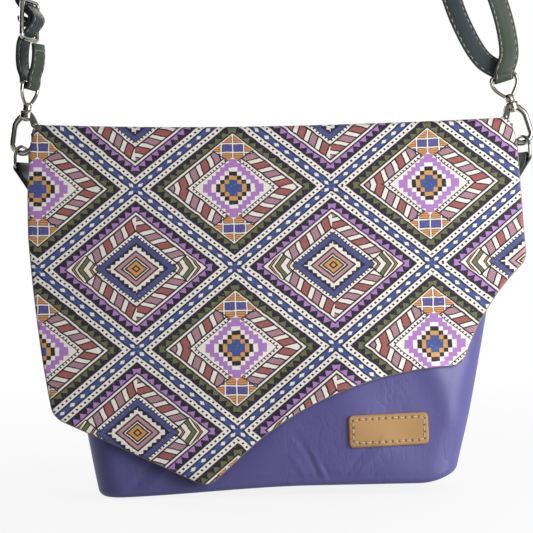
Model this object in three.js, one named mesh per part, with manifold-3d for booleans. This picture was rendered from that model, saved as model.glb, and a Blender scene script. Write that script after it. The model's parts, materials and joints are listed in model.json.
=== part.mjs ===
// A leather flap shoulder bag: a boxed pouch of two panels, a printed flap with a slanting hem, a sewn label,
// and a doubled shoulder strap held by swivel snap hooks in D-rings. Millimetres, +Z up, the front faces -Y.
// The origin is the middle of the flat base.
import * as THREE from "three";
import { mergeVertices } from "three/addons/utils/BufferGeometryUtils.js";
import Module from "manifold-3d";

const wasm = await Module();
wasm.setup();

// Pouch
const BODY_HEIGHT = 216;
const BASE_HALF_WIDTH = 106;
const MOUTH_HALF_WIDTH = 145.5;
const BASE_HALF_DEPTH = 35;
const MOUTH_HALF_DEPTH = 8;
const SIDE_FLARE_POWER = 1.3;
const LEATHER = 1.8;
const UPRIGHT_EDGE_RADIUS = 16;
const BASE_EDGE_RADIUS = 7;
const CORNER_STEPS = 6;
const BASE_EDGE_STEPS = 4;
const WALL_LEVELS = 8;
const CORNER_EASE = 0.999;
const SEAM_GAP = 0.3;

// Fits shared by pieces that lie on one another
const SEAT = 0.3;
const PIVOT_PLAY = 0.12;

// Flap
const FLAP_HINGE_Y = 5;
const FLAP_LIFT_TOP_Z = 150;
const FLAP_LIFT_FULL_Z = 52;
const FLAP_TOP_HALF_WIDTH = MOUTH_HALF_WIDTH - 4;
const FLAP_SHOULDER = [MOUTH_HALF_WIDTH + 2.5, BODY_HEIGHT - 18];
const FLAP_RIGHT_POINT = [MOUTH_HALF_WIDTH + 4.8, 137];
const FLAP_NOTCH = [112, 76];
const FLAP_SWEEP_END = [-19, 22];
const FLAP_TIP = [-41.5, 2.5];
const FLAP_LEFT_CORNER = [-131.5, 43.5];
const FLAP_LEFT_SIDE = [-MOUTH_HALF_WIDTH - 1.9, 150];

// Curves of the flap's outline: how far each handle or end lies from the corner that it rounds
const SHOULDER_HANDLE = [-1, 14];
const RIGHT_POINT_HANDLE = [0.3, -6];
const RIGHT_POINT_END = [-4, -9.5];
const NOTCH_SIDE_HANDLE = [12, 30];
const NOTCH_HANDLE = [-2.5, -6.5];
const NOTCH_END = [-9, -6.5];
const SWEEP_FROM_NOTCH = [-52, -8];
const SWEEP_END_HANDLE = [33, 30];
const TIP_START = [5.5, 4.5];
const TIP_HANDLE = [0, -0.8];
const TIP_END = [-6, 1.8];
const LEFT_CORNER_START = [5.5, -2.5];
const LEFT_CORNER_END = [-2, 5.5];
const LEFT_SIDE_LOW_HANDLE = [5, -58];
const LEFT_SIDE_HIGH_HANDLE = [-1, 40];
const LEFT_SIDE_TOP_HANDLE = [0, 58];

// Strip on the back
const BACK_STRIP_BOTTOM_Z = BODY_HEIGHT - 30;
const BACK_STRIP_HALF_WIDTH = MOUTH_HALF_WIDTH - 6.5;

// Label and magnetic snap
const LABEL_SIZE = [47.5, 20.6];
const LABEL_THICKNESS = 1.6;
const LABEL_CORNER = 3;
const LABEL_PLACE = [65, 32];
const LABEL_TILT_DEG = 1.2;
const SNAP_PLACE = [-42, 32];
const SNAP_RADIUS = 7;
const SNAP_SOCKET_HEIGHT = 2;
const SNAP_STUD_HEIGHT = 1.8;
const SNAP_NIPPLE_RADIUS = 2.2;
const SNAP_NIPPLE_HEIGHT = 1;
const SNAP_EDGE = { across: 0.8, down: 0.5 };
const SNAP_NIPPLE_CHAMFER = 0.3;
const SNAP_WASHER_RADIUS = 6;
const SNAP_WASHER_HEIGHT = 0.8;

// The flap stands off the panel by the closed snap
const FLAP_LIFT = SNAP_SOCKET_HEIGHT + SNAP_STUD_HEIGHT + 2 * SEAT;

// Side tab and D-ring
const TAB_WIDTH = 12;
const TAB_LEATHER = 1.6;
const TAB_YAW_DEG = 30;
const TAB_BOTTOM_Z = BODY_HEIGHT - 42;
const TAB_SEWN_HEIGHT = 6;
const TAB_FOOT_LAYERS = 2.6;
const RING_BAR_Z = BODY_HEIGHT - 21;
const RING_STAND_OFF = 14.5;
const RING_WIRE = 2.2;
const RING_SIDE_PLAY = 0.2;
const RING_RISE = 12.8;
const RING_CORNER = 1.6;
const LINK_PLAY = 1.2;

// Swivel snap hook
const HOOK_WIRE = 3.6;
const HOOK_GAP = 8.8;
const HOOK_ARM_TOP = 13;
const HOOK_NOSE_Z = 6.4;
const NECK_BOTTOM = 19;
const NECK_TOP = 24.4;
const NECK_RADIUS = 4.4;
const NECK_CHAMFER = 0.8;
const SHOULDER_RISE = 4;
const SHOULDER_BELOW_NECK = 1;
const SHOULDER_INTO_NECK = 2;
const CHEEK_BELOW_NECK_TOP = 1;
const CHEEK_ABOVE_NECK_BOTTOM = 0.5;
const CHEEK_ARC_END = 1.9 * Math.PI;
const HEAD_RECESS = 0.6;
const DRILL_OVERRUN = 4;
const SWIVEL_PIN_RADIUS = 1.3;
const SWIVEL_HEAD_RADIUS = 2.3;
const SWIVEL_HEAD_HEIGHT = 1.2;
const SWIVEL_HEAD_CHAMFER = 0.6;
const BARREL_RADIUS = 3;
const BARREL_HEIGHT = 5;
const BARREL_CHAMFER = { low: 0.5, top: 0.8 };
const EYE_WIRE = 2.4;
const EYE_BAR_Z = 41.5;
const EYE_SIDE_PLAY = 0.7;
const EYE_CORNER = 1.6;
const EYE_FLARE = { top: 6.5, low: 2.4, in: 1.6 };
const GATE_PIVOT_Z = 16.8;
const GATE_WIRE = 3.2;
const GATE_KNUCKLE_RADIUS = 1.9;
const GATE_PIN_RADIUS = 0.7;
const GATE_STEM_HALF_WIDTH = 1.2;
const GATE_STEM_INSET = 0.2;
const GATE_STEM_LAP = 1;
const FORK_CHEEK = 1;
const FORK_RADIUS = 2.4;
const SPRING_WIDTH = 1;
const SPRING_OUTER_RADIUS = 1.5;
const HOOK_LEAN_DEG = { right: 16.5, left: 8.5 };
const EYE_YAW_DEG = { right: 0, left: -62 };

// Shoulder strap and its slider
const STRAP_WIDTH = 12;
const STRAP_THICKNESS = 2.2;
const STRAP_STEPS_PER_POINT = 3;
const STRAP_WRAP_PLAY = 0.4;
const STRAP_WEAVE_PLAY = 1.1;
const SLIDER_WIRE = 3;
const SLIDER_HALF_HEIGHT = 12;
const SLIDER_SIDE_PLAY = 0.6;
const SLIDER_FROM_EYE = [0.4, 0.4, 39.4];
const SLIDER_LEAN_DEG = 4;

const WIRE_SIDES = 10;
const ROUND_SIDES = 20;

const rad = THREE.MathUtils.degToRad;

// Materials
const finish = (color, roughness, metalness) =>
  new THREE.MeshStandardMaterial({ color, roughness, metalness });
const bodyLeather = finish(0x5a4c96, 0.5, 0);
const printedLeather = finish(0xb9aea6, 0.6, 0);
const labelLeather = finish(0xc99a62, 0.65, 0);
const strapLeather = finish(0x34423c, 0.6, 0);
const nickel = finish(0xc8c8c6, 0.28, 1);

// Booleans: a closed geometry becomes a solid, and a solid becomes a geometry again
function solidOf(geometry) {
  const bare = geometry.clone();
  bare.deleteAttribute("normal");
  bare.deleteAttribute("uv");
  const merged = mergeVertices(bare, 1e-4);
  return new wasm.Manifold(
    new wasm.Mesh({
      numProp: 3,
      vertProperties: new Float32Array(merged.attributes.position.array),
      triVerts: new Uint32Array(merged.index.array),
    }),
  );
}

function geometryOf(solid) {
  const mesh = solid.getMesh();
  const geometry = new THREE.BufferGeometry();
  geometry.setAttribute("position", new THREE.BufferAttribute(mesh.vertProperties, 3));
  geometry.setIndex(new THREE.BufferAttribute(mesh.triVerts, 1));
  geometry.computeVertexNormals();
  return geometry;
}

const joined = (...geometries) => geometryOf(geometries.map(solidOf).reduce((sum, next) => sum.add(next)));
const cut = (geometry, ...tools) =>
  geometryOf(tools.map(solidOf).reduce((rest, tool) => rest.subtract(tool), solidOf(geometry)));
const common = (first, second) => geometryOf(solidOf(first).intersect(solidOf(second)));

function boxBetween(low, high) {
  const box = new THREE.BoxGeometry(...high.map((value, axis) => value - low[axis]));
  return box.translate(...high.map((value, axis) => (value + low[axis]) / 2));
}

// A skin through rings of equal point counts, closed by flat ends or joined end to end
function loft(rings, endless = false) {
  const count = rings[0].length;
  const index = [];
  const last = endless ? rings.length : rings.length - 1;
  for (let ring = 0; ring < last; ring++) {
    const above = (ring + 1) % rings.length;
    for (let i = 0; i < count; i++) {
      const next = (i + 1) % count;
      const [a, b] = [ring * count + i, ring * count + next];
      const [c, d] = [above * count + i, above * count + next];
      index.push(a, b, d, a, d, c);
    }
  }
  if (!endless) {
    const top = (rings.length - 1) * count;
    for (let i = 1; i < count - 1; i++) {
      index.push(0, i + 1, i);
      index.push(top, top + i, top + i + 1);
    }
  }
  const geometry = new THREE.BufferGeometry().setFromPoints(rings.flat());
  geometry.setIndex(index);
  geometry.computeVertexNormals();
  return geometry;
}

// A round wire along points of the local XZ plane
function wire(points, diameter, endless = false) {
  const rings = points.map((point, i) => {
    const before = endless ? points.at(i - 1) : points[Math.max(i - 1, 0)];
    const after = endless ? points[(i + 1) % points.length] : points[Math.min(i + 1, points.length - 1)];
    const along = after.clone().sub(before).normalize();
    return Array.from({ length: WIRE_SIDES }, (_, k) => {
      const angle = (2 * Math.PI * k) / WIRE_SIDES;
      const out = (Math.cos(angle) * diameter) / 2;
      const side = (-Math.sin(angle) * diameter) / 2;
      return new THREE.Vector3(point.x - along.y * out, side, point.y + along.x * out);
    });
  });
  return loft(rings, endless);
}

const arc = (x, z, radius, fromDeg, toDeg, steps) =>
  Array.from({ length: steps + 1 }, (_, i) => {
    const angle = rad(fromDeg + ((toDeg - fromDeg) * i) / steps);
    return new THREE.Vector2(x + radius * Math.cos(angle), z + radius * Math.sin(angle));
  });

// A turned piece about the local Z axis, from [radius, z] pairs that start and end on the axis or close up
function turned(profile, sides = ROUND_SIDES) {
  const points = profile.map(([radius, z]) => new THREE.Vector2(radius, z));
  return new THREE.LatheGeometry(points, sides).rotateX(Math.PI / 2);
}

const rod = (radius, low, high, sides) => turned([[0, low], [radius, low], [radius, high], [0, high]], sides);
const tube = (inner, outer, low, high, sides) =>
  turned([[inner, low], [outer, low], [outer, high], [inner, high], [inner, low]], sides);
const acrossY = (geometry, x, z) => geometry.rotateX(-Math.PI / 2).translate(x, 0, z);

function extruded(shape, depth, curveSegments = 8) {
  return new THREE.ExtrudeGeometry(shape, { depth, bevelEnabled: false, curveSegments });
}

// A profile of [y, z] points carried across X
function acrossX(profile, halfWidth) {
  const shape = new THREE.Shape(profile.map(([y, z]) => new THREE.Vector2(y, z)));
  const slab = extruded(shape, 2 * halfWidth).translate(0, 0, -halfWidth);
  return slab.applyMatrix4(new THREE.Matrix4().makeBasis(
    new THREE.Vector3(0, 1, 0), new THREE.Vector3(0, 0, 1), new THREE.Vector3(1, 0, 0)));
}

// Pouch form: half width and half depth at a height
function halfWidth(z) {
  const left = Math.max(1 - z / BODY_HEIGHT, 0);
  return MOUTH_HALF_WIDTH - (MOUTH_HALF_WIDTH - BASE_HALF_WIDTH) * left ** SIDE_FLARE_POWER;
}
const halfDepth = (z) => BASE_HALF_DEPTH + (MOUTH_HALF_DEPTH - BASE_HALF_DEPTH) * (z / BODY_HEIGHT);
const PANEL_SLOPE = Math.atan2(BASE_HALF_DEPTH - MOUTH_HALF_DEPTH, BODY_HEIGHT);

// One level ring of the pouch, drawn in by a margin
function pouchRing(z, margin, edgeInset) {
  const across = halfWidth(z) - margin - edgeInset;
  const deep = halfDepth(z) - margin - edgeInset;
  const corner = Math.min(deep, Math.max(UPRIGHT_EDGE_RADIUS - margin - edgeInset, 1));
  const ring = [];
  for (let quarter = 0; quarter < 4; quarter++) {
    const signX = quarter === 0 || quarter === 3 ? 1 : -1;
    const signY = quarter < 2 ? 1 : -1;
    for (let i = 0; i <= CORNER_STEPS; i++) {
      const angle = (Math.PI / 2) * (quarter + i / CORNER_STEPS);
      const x = signX * (across - corner) + corner * Math.cos(angle);
      const y = signY * (deep - corner * CORNER_EASE) + corner * CORNER_EASE * Math.sin(angle);
      ring.push(new THREE.Vector3(x, y, z));
    }
  }
  return ring;
}

function pouchSolid(margin, floorZ, topZ) {
  const rings = [];
  const edge = BASE_EDGE_RADIUS;
  for (let i = 0; i <= BASE_EDGE_STEPS; i++) {
    const angle = (Math.PI / 2) * (i / BASE_EDGE_STEPS);
    const z = floorZ + (edge - margin) * (1 - Math.cos(angle));
    rings.push(pouchRing(z, margin, (edge - margin) * (1 - Math.sin(angle))));
  }
  for (let i = 1; i <= WALL_LEVELS; i++) {
    const z = edge + ((topZ - edge) * i) / WALL_LEVELS;
    rings.push(pouchRing(z, margin, 0));
  }
  return loft(rings);
}

const FAR = 400;
const pouch = cut(pouchSolid(0, 0, BODY_HEIGHT), pouchSolid(LEATHER, LEATHER, BODY_HEIGHT + LEATHER));

// The front panel folds under as the base and meets the back panel along both sides and the lower back edge
function frontPanel() {
  return cut(pouch, boxBetween([-FAR, -SEAM_GAP / 2, BASE_EDGE_RADIUS - SEAM_GAP], [FAR, FAR, FAR]));
}

function backPanel() {
  return common(pouch, boxBetween([-FAR, SEAM_GAP / 2, BASE_EDGE_RADIUS], [FAR, FAR, FAR]));
}

// Flap: a bent sheet cut to the hem's outline
const FLAP_INNER_TOP = BODY_HEIGHT + SEAT;
const FLAP_OUTER_TOP = FLAP_INNER_TOP + LEATHER;

function flapInnerY(z) {
  const share = (FLAP_LIFT_TOP_Z - z) / (FLAP_LIFT_TOP_Z - FLAP_LIFT_FULL_Z);
  const lift = FLAP_LIFT * THREE.MathUtils.clamp(share, 0, 1);
  return -(halfDepth(z) + SEAT + lift);
}

function flapSheet() {
  const fold = LEATHER + SEAT;
  const heights = [BODY_HEIGHT - fold, FLAP_LIFT_TOP_Z, FLAP_LIFT_FULL_Z, 0];
  const inner = heights.map((z) => [flapInnerY(z), z]);
  const outer = heights.map((z) => [flapInnerY(z) - LEATHER, z]);
  const edgeY = FLAP_HINGE_Y - SEAT / 2;
  const profile = [
    [edgeY, FLAP_INNER_TOP],
    [edgeY, FLAP_OUTER_TOP],
    [-MOUTH_HALF_DEPTH + fold, FLAP_OUTER_TOP],
    [-MOUTH_HALF_DEPTH - fold / 2, FLAP_OUTER_TOP - fold / 3],
    ...outer,
    ...inner.reverse(),
    [-MOUTH_HALF_DEPTH - SEAT, FLAP_INNER_TOP],
  ];
  return acrossX(profile, FLAP_RIGHT_POINT[0] + LEATHER);
}

const off = ([x, z], [dx, dz]) => [x + dx, z + dz];

function flapOutline() {
  const top = FLAP_OUTER_TOP + LEATHER;
  const shape = new THREE.Shape();
  shape.moveTo(-FLAP_TOP_HALF_WIDTH, top);
  shape.lineTo(FLAP_TOP_HALF_WIDTH, top);
  shape.quadraticCurveTo(...off(FLAP_SHOULDER, SHOULDER_HANDLE), ...FLAP_SHOULDER);
  shape.lineTo(...FLAP_RIGHT_POINT);
  shape.quadraticCurveTo(
    ...off(FLAP_RIGHT_POINT, RIGHT_POINT_HANDLE), ...off(FLAP_RIGHT_POINT, RIGHT_POINT_END));
  shape.quadraticCurveTo(...off(FLAP_NOTCH, NOTCH_SIDE_HANDLE), ...FLAP_NOTCH);
  shape.quadraticCurveTo(...off(FLAP_NOTCH, NOTCH_HANDLE), ...off(FLAP_NOTCH, NOTCH_END));
  shape.bezierCurveTo(
    ...off(FLAP_NOTCH, SWEEP_FROM_NOTCH), ...off(FLAP_SWEEP_END, SWEEP_END_HANDLE), ...FLAP_SWEEP_END);
  shape.lineTo(...off(FLAP_TIP, TIP_START));
  shape.quadraticCurveTo(...off(FLAP_TIP, TIP_HANDLE), ...off(FLAP_TIP, TIP_END));
  shape.lineTo(...off(FLAP_LEFT_CORNER, LEFT_CORNER_START));
  shape.quadraticCurveTo(...FLAP_LEFT_CORNER, ...off(FLAP_LEFT_CORNER, LEFT_CORNER_END));
  shape.quadraticCurveTo(...off(FLAP_LEFT_SIDE, LEFT_SIDE_LOW_HANDLE), ...FLAP_LEFT_SIDE);
  shape.bezierCurveTo(
    ...off(FLAP_LEFT_SIDE, LEFT_SIDE_HIGH_HANDLE), ...off(FLAP_LEFT_SIDE, LEFT_SIDE_TOP_HANDLE),
    -FLAP_TOP_HALF_WIDTH, top);
  return extruded(shape, 2 * FAR).translate(0, 0, -FAR).rotateX(Math.PI / 2);
}

// The flap's fixed end laps over the back edge and is sewn down the back panel
function flapBackStrip() {
  const edgeY = FLAP_HINGE_Y + SEAT / 2;
  const backY = (z) => halfDepth(z) + SEAT;
  const profile = [
    [edgeY, FLAP_INNER_TOP],
    [backY(BODY_HEIGHT), FLAP_INNER_TOP],
    [backY(BACK_STRIP_BOTTOM_Z), BACK_STRIP_BOTTOM_Z],
    [backY(BACK_STRIP_BOTTOM_Z) + LEATHER, BACK_STRIP_BOTTOM_Z],
    [backY(BODY_HEIGHT) + LEATHER, BODY_HEIGHT],
    [backY(BODY_HEIGHT) + LEATHER / 2, FLAP_OUTER_TOP],
    [edgeY, FLAP_OUTER_TOP],
  ];
  return acrossX(profile.reverse(), BACK_STRIP_HALF_WIDTH);
}

function labelPatch() {
  const [halfX, halfY] = LABEL_SIZE.map((side) => side / 2);
  const corner = LABEL_CORNER;
  const shape = new THREE.Shape();
  shape.moveTo(-halfX + corner, -halfY);
  shape.lineTo(halfX - corner, -halfY);
  shape.absarc(halfX - corner, -halfY + corner, corner, -Math.PI / 2, 0);
  shape.absarc(halfX - corner, halfY - corner, corner, 0, Math.PI / 2);
  shape.absarc(-halfX + corner, halfY - corner, corner, Math.PI / 2, Math.PI);
  shape.absarc(-halfX + corner, -halfY + corner, corner, Math.PI, 1.5 * Math.PI);
  return extruded(shape, LABEL_THICKNESS, 5);
}

const SNAP_RECESS_RADIUS = SNAP_NIPPLE_RADIUS + SEAT;
const snapSocket = () =>
  turned([
    [0, 0], [SNAP_RADIUS, 0], [SNAP_RADIUS, SNAP_SOCKET_HEIGHT - SNAP_EDGE.down],
    [SNAP_RADIUS - SNAP_EDGE.across, SNAP_SOCKET_HEIGHT], [SNAP_RECESS_RADIUS, SNAP_SOCKET_HEIGHT],
    [SNAP_RECESS_RADIUS, SNAP_SOCKET_HEIGHT - SNAP_NIPPLE_HEIGHT],
    [0, SNAP_SOCKET_HEIGHT - SNAP_NIPPLE_HEIGHT],
  ]);
const snapStud = () =>
  turned([
    [0, -SNAP_NIPPLE_HEIGHT + SEAT], [SNAP_NIPPLE_RADIUS - SNAP_NIPPLE_CHAMFER, -SNAP_NIPPLE_HEIGHT + SEAT],
    [SNAP_NIPPLE_RADIUS, -SEAT], [SNAP_NIPPLE_RADIUS, 0], [SNAP_RADIUS - SNAP_EDGE.across, 0],
    [SNAP_RADIUS, SNAP_EDGE.down], [SNAP_RADIUS, SNAP_STUD_HEIGHT], [0, SNAP_STUD_HEIGHT],
  ]);
const snapWasher = () => tube(SNAP_NIPPLE_RADIUS, SNAP_WASHER_RADIUS, 0, SNAP_WASHER_HEIGHT);

// Side tab: its plane turns from the side towards the back, and n runs out of the pouch's rounded side
const TAB_YAW = rad(TAB_YAW_DEG);
const TAB_AXIS_X = halfWidth(RING_BAR_Z) - halfDepth(RING_BAR_Z);
const sideN = (z) => (halfWidth(z) - halfDepth(z) - TAB_AXIS_X) * Math.cos(TAB_YAW) + halfDepth(z);
const RING_N = sideN(RING_BAR_Z) + RING_STAND_OFF;
const RING_PLACE = [TAB_AXIS_X + RING_N * Math.cos(TAB_YAW), RING_N * Math.sin(TAB_YAW), RING_BAR_Z];

function sideTab() {
  const inner = (z) => sideN(z) + SEAT;
  const sewnTop = TAB_BOTTOM_Z + TAB_SEWN_HEIGHT;
  const loopInner = RING_WIRE / 2 + SEAT;
  const loopOuter = loopInner + TAB_LEATHER;
  const slab = (points) =>
    extruded(new THREE.Shape(points.map(([n, z]) => new THREE.Vector2(n, z))), TAB_WIDTH);
  const levels = [0, 1, 2, 3].map((i) => TAB_BOTTOM_Z + ((BODY_HEIGHT - TAB_BOTTOM_Z) * i) / 3);
  const strip = slab([
    ...levels.map((z) => [inner(z) + TAB_LEATHER, z]),
    ...levels.reverse().map((z) => [inner(z), z]),
  ]);
  const foot = inner(TAB_BOTTOM_Z) + TAB_LEATHER / 2;
  const lean = Math.atan2(RING_N - foot, RING_BAR_Z - sewnTop);
  const [alongN, alongZ] = [Math.cos(lean), Math.sin(lean)];
  const fold = slab([
    [foot, TAB_BOTTOM_Z],
    [foot + TAB_FOOT_LAYERS * TAB_LEATHER, TAB_BOTTOM_Z + TAB_LEATHER],
    [RING_N + TAB_LEATHER * alongN, RING_BAR_Z - TAB_LEATHER * alongZ],
    [RING_N - TAB_LEATHER * alongN, RING_BAR_Z + TAB_LEATHER * alongZ],
    [foot, sewnTop],
  ]);
  const loop = rod(loopOuter, 0, TAB_WIDTH).translate(RING_N, RING_BAR_Z, 0);
  const hole = rod(loopInner, -1, TAB_WIDTH + 1).translate(RING_N, RING_BAR_Z, 0);
  return cut(joined(strip, fold, loop), hole)
    .translate(0, 0, -TAB_WIDTH / 2)
    .rotateX(Math.PI / 2)
    .rotateZ(TAB_YAW)
    .translate(TAB_AXIS_X, 0, 0);
}

// D-ring: a straight bar in the tab's loop and a round bow for the hook, in the plane across the tab
function dRing() {
  const half = TAB_WIDTH / 2 + RING_SIDE_PLAY + RING_WIRE / 2;
  const bowZ = RING_RISE - half;
  const points = [
    ...arc(half - RING_CORNER, RING_CORNER, RING_CORNER, -90, 0, 3),
    ...arc(0, bowZ, half, 0, 180, 12),
    ...arc(-half + RING_CORNER, RING_CORNER, RING_CORNER, 180, 270, 3),
  ];
  return wire(points, RING_WIRE, true).rotateZ(TAB_YAW + Math.PI / 2);
}

// Swivel snap hook, in its own frame: the inside of the bend is the origin, the gate is on the -X side
const HOOK_BEND = (HOOK_GAP + HOOK_WIRE) / 2;
const HOOK_BEND_Z = HOOK_GAP / 2;
const GATE_X = -HOOK_BEND;
const PIN_BORE = GATE_PIN_RADIUS + PIVOT_PLAY;
const FORK_GAP = GATE_WIRE / 2 + SEAT;
const FORK_HALF = FORK_GAP + FORK_CHEEK;
const PIN_SIDES = 12;

function hookBody() {
  const bend = arc(0, HOOK_BEND_Z, HOOK_BEND, 180, 360, 12);
  const shoulder = new THREE.CubicBezierCurve(
    new THREE.Vector2(HOOK_BEND, HOOK_ARM_TOP),
    new THREE.Vector2(HOOK_BEND, HOOK_ARM_TOP + SHOULDER_RISE),
    new THREE.Vector2(NECK_RADIUS, NECK_BOTTOM - SHOULDER_BELOW_NECK),
    new THREE.Vector2(NECK_RADIUS - HOOK_WIRE / 2, NECK_BOTTOM + SHOULDER_INTO_NECK),
  ).getPoints(6);
  const arm = wire([new THREE.Vector2(-HOOK_BEND, HOOK_NOSE_Z), ...bend, ...shoulder], HOOK_WIRE);
  const neck = turned([
    [0, NECK_BOTTOM], [NECK_RADIUS - NECK_CHAMFER, NECK_BOTTOM], [NECK_RADIUS, NECK_BOTTOM + NECK_CHAMFER],
    [NECK_RADIUS, NECK_TOP - NECK_CHAMFER], [NECK_RADIUS - NECK_CHAMFER, NECK_TOP], [0, NECK_TOP],
  ]);
  const cheekShape = new THREE.Shape();
  cheekShape.moveTo(-NECK_RADIUS / 2, NECK_TOP - CHEEK_BELOW_NECK_TOP);
  cheekShape.lineTo(-NECK_RADIUS, NECK_TOP - CHEEK_BELOW_NECK_TOP);
  cheekShape.lineTo(GATE_X - FORK_RADIUS, GATE_PIVOT_Z);
  cheekShape.absarc(GATE_X, GATE_PIVOT_Z, FORK_RADIUS, Math.PI, CHEEK_ARC_END);
  cheekShape.lineTo(-NECK_RADIUS / 2, NECK_BOTTOM + CHEEK_ABOVE_NECK_BOTTOM);
  const cheek = (low) =>
    extruded(cheekShape, FORK_CHEEK, 6).rotateX(Math.PI / 2).translate(0, low + FORK_CHEEK, 0);
  const bore = rod(SWIVEL_PIN_RADIUS + PIVOT_PLAY, NECK_BOTTOM - DRILL_OVERRUN, NECK_TOP + DRILL_OVERRUN);
  const pinHole = acrossY(rod(PIN_BORE, -NECK_RADIUS, NECK_RADIUS, PIN_SIDES), GATE_X, GATE_PIVOT_Z);
  const headRoom = rod(SWIVEL_HEAD_RADIUS + SEAT, NECK_BOTTOM - DRILL_OVERRUN, NECK_BOTTOM + HEAD_RECESS);
  return cut(joined(arm, neck, cheek(FORK_GAP), cheek(-FORK_HALF)), bore, pinHole, headRoom);
}

const KNUCKLE_LOW = -GATE_WIRE / 2;
const KNUCKLE_HIGH = GATE_WIRE / 2 - SPRING_WIDTH - SEAT;
const SPRING_LOW = KNUCKLE_HIGH + SEAT / 2;

function hookGate() {
  const stemTop = GATE_PIVOT_Z - GATE_KNUCKLE_RADIUS - SEAT;
  const bar = rod(GATE_WIRE / 2, HOOK_NOSE_Z + SEAT, stemTop, WIRE_SIDES).translate(GATE_X, 0, 0);
  const stem = boxBetween(
    [GATE_X - GATE_STEM_HALF_WIDTH, KNUCKLE_LOW + GATE_STEM_INSET, stemTop - GATE_STEM_LAP],
    [GATE_X + GATE_STEM_HALF_WIDTH, KNUCKLE_HIGH, GATE_PIVOT_Z]);
  const knuckle = acrossY(
    rod(GATE_KNUCKLE_RADIUS, KNUCKLE_LOW, KNUCKLE_HIGH, PIN_SIDES), GATE_X, GATE_PIVOT_Z);
  const hole = acrossY(rod(PIN_BORE, -NECK_RADIUS, NECK_RADIUS, PIN_SIDES), GATE_X, GATE_PIVOT_Z);
  return cut(joined(bar, stem, knuckle), hole);
}

const gatePin = () => acrossY(rod(GATE_PIN_RADIUS, -FORK_HALF, FORK_HALF, PIN_SIDES), GATE_X, GATE_PIVOT_Z);
const gateSpring = () =>
  acrossY(
    tube(PIN_BORE, SPRING_OUTER_RADIUS, SPRING_LOW, SPRING_LOW + SPRING_WIDTH, PIN_SIDES),
    GATE_X, GATE_PIVOT_Z);

function swivelEye() {
  const half = STRAP_WIDTH / 2 + EYE_SIDE_PLAY + EYE_WIRE / 2;
  const barrelLow = NECK_TOP + SEAT;
  const barrelTop = barrelLow + BARREL_HEIGHT;
  const corner = EYE_CORNER;
  const waist = BARREL_RADIUS - EYE_WIRE / 3;
  const waistZ = barrelTop - EYE_WIRE / 2;
  const frame = wire([
    ...arc(half - corner, EYE_BAR_Z - corner, corner, 0, 90, 3),
    ...arc(-half + corner, EYE_BAR_Z - corner, corner, 90, 180, 3),
    new THREE.Vector2(-half, waistZ + EYE_FLARE.top),
    new THREE.Vector2(-half + EYE_FLARE.in, waistZ + EYE_FLARE.low),
    new THREE.Vector2(-waist, waistZ),
    new THREE.Vector2(waist, waistZ),
    new THREE.Vector2(half - EYE_FLARE.in, waistZ + EYE_FLARE.low),
    new THREE.Vector2(half, waistZ + EYE_FLARE.top),
  ], EYE_WIRE, true);
  const headTop = NECK_BOTTOM + HEAD_RECESS - SEAT;
  const spindle = turned([
    [0, headTop - SWIVEL_HEAD_HEIGHT],
    [SWIVEL_HEAD_RADIUS - SWIVEL_HEAD_CHAMFER, headTop - SWIVEL_HEAD_HEIGHT],
    [SWIVEL_HEAD_RADIUS, headTop - SWIVEL_HEAD_HEIGHT / 2], [SWIVEL_HEAD_RADIUS, headTop],
    [SWIVEL_PIN_RADIUS, headTop], [SWIVEL_PIN_RADIUS, barrelLow],
    [BARREL_RADIUS - BARREL_CHAMFER.low, barrelLow], [BARREL_RADIUS, barrelLow + BARREL_CHAMFER.low],
    [BARREL_RADIUS, barrelTop - BARREL_CHAMFER.top],
    [BARREL_RADIUS - BARREL_CHAMFER.top, barrelTop], [0, barrelTop],
  ]);
  return joined(frame, spindle);
}

// Strap slider: a frame with a middle bar, seen along its own normal, local X across the strap
function slider() {
  const half = STRAP_WIDTH / 2 + SLIDER_SIDE_PLAY + SLIDER_WIRE / 2;
  const corner = SLIDER_WIRE;
  const frame = wire([
    ...arc(half - corner, SLIDER_HALF_HEIGHT - corner, corner, 0, 90, 3),
    ...arc(-half + corner, SLIDER_HALF_HEIGHT - corner, corner, 90, 180, 3),
    ...arc(-half + corner, -SLIDER_HALF_HEIGHT + corner, corner, 180, 270, 3),
    ...arc(half - corner, -SLIDER_HALF_HEIGHT + corner, corner, 270, 360, 3),
  ], SLIDER_WIRE, true);
  const middle = wire([new THREE.Vector2(-half, 0), new THREE.Vector2(half, 0)], SLIDER_WIRE);
  return joined(frame, middle);
}

// Frames that the strap follows: each hook's own axis, the eye's bar and the slider
const BOW_DEPTH = LINK_PLAY + RING_WIRE / 2;

function hookFrame(side) {
  const frame = new THREE.Group();
  const lean = rad(HOOK_LEAN_DEG[side]);
  const bowZ = RING_BAR_Z + RING_RISE;
  const bendX = RING_PLACE[0] + BOW_DEPTH * Math.sin(lean);
  frame.position.set(bendX, RING_PLACE[1], bowZ - BOW_DEPTH * Math.cos(lean));
  frame.rotation.y = -lean;
  return frame;
}

function eyeFrame(side) {
  const eye = new THREE.Group();
  eye.rotation.z = rad(EYE_YAW_DEG[side]);
  return eye;
}

function barPlace(side) {
  const frame = hookFrame(side);
  frame.updateMatrix();
  const place = new THREE.Vector3(0, 0, EYE_BAR_Z).applyMatrix4(frame.matrix);
  if (side === "left") place.x = -place.x;
  return place;
}

const STRAP_YAW_DEG = -EYE_YAW_DEG.left;
const sliderFrame = new THREE.Matrix4()
  .makeRotationFromEuler(new THREE.Euler(0, rad(SLIDER_LEAN_DEG), rad(STRAP_YAW_DEG), "ZXY"))
  .setPosition(barPlace("left").add(new THREE.Vector3(...SLIDER_FROM_EYE)));

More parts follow.
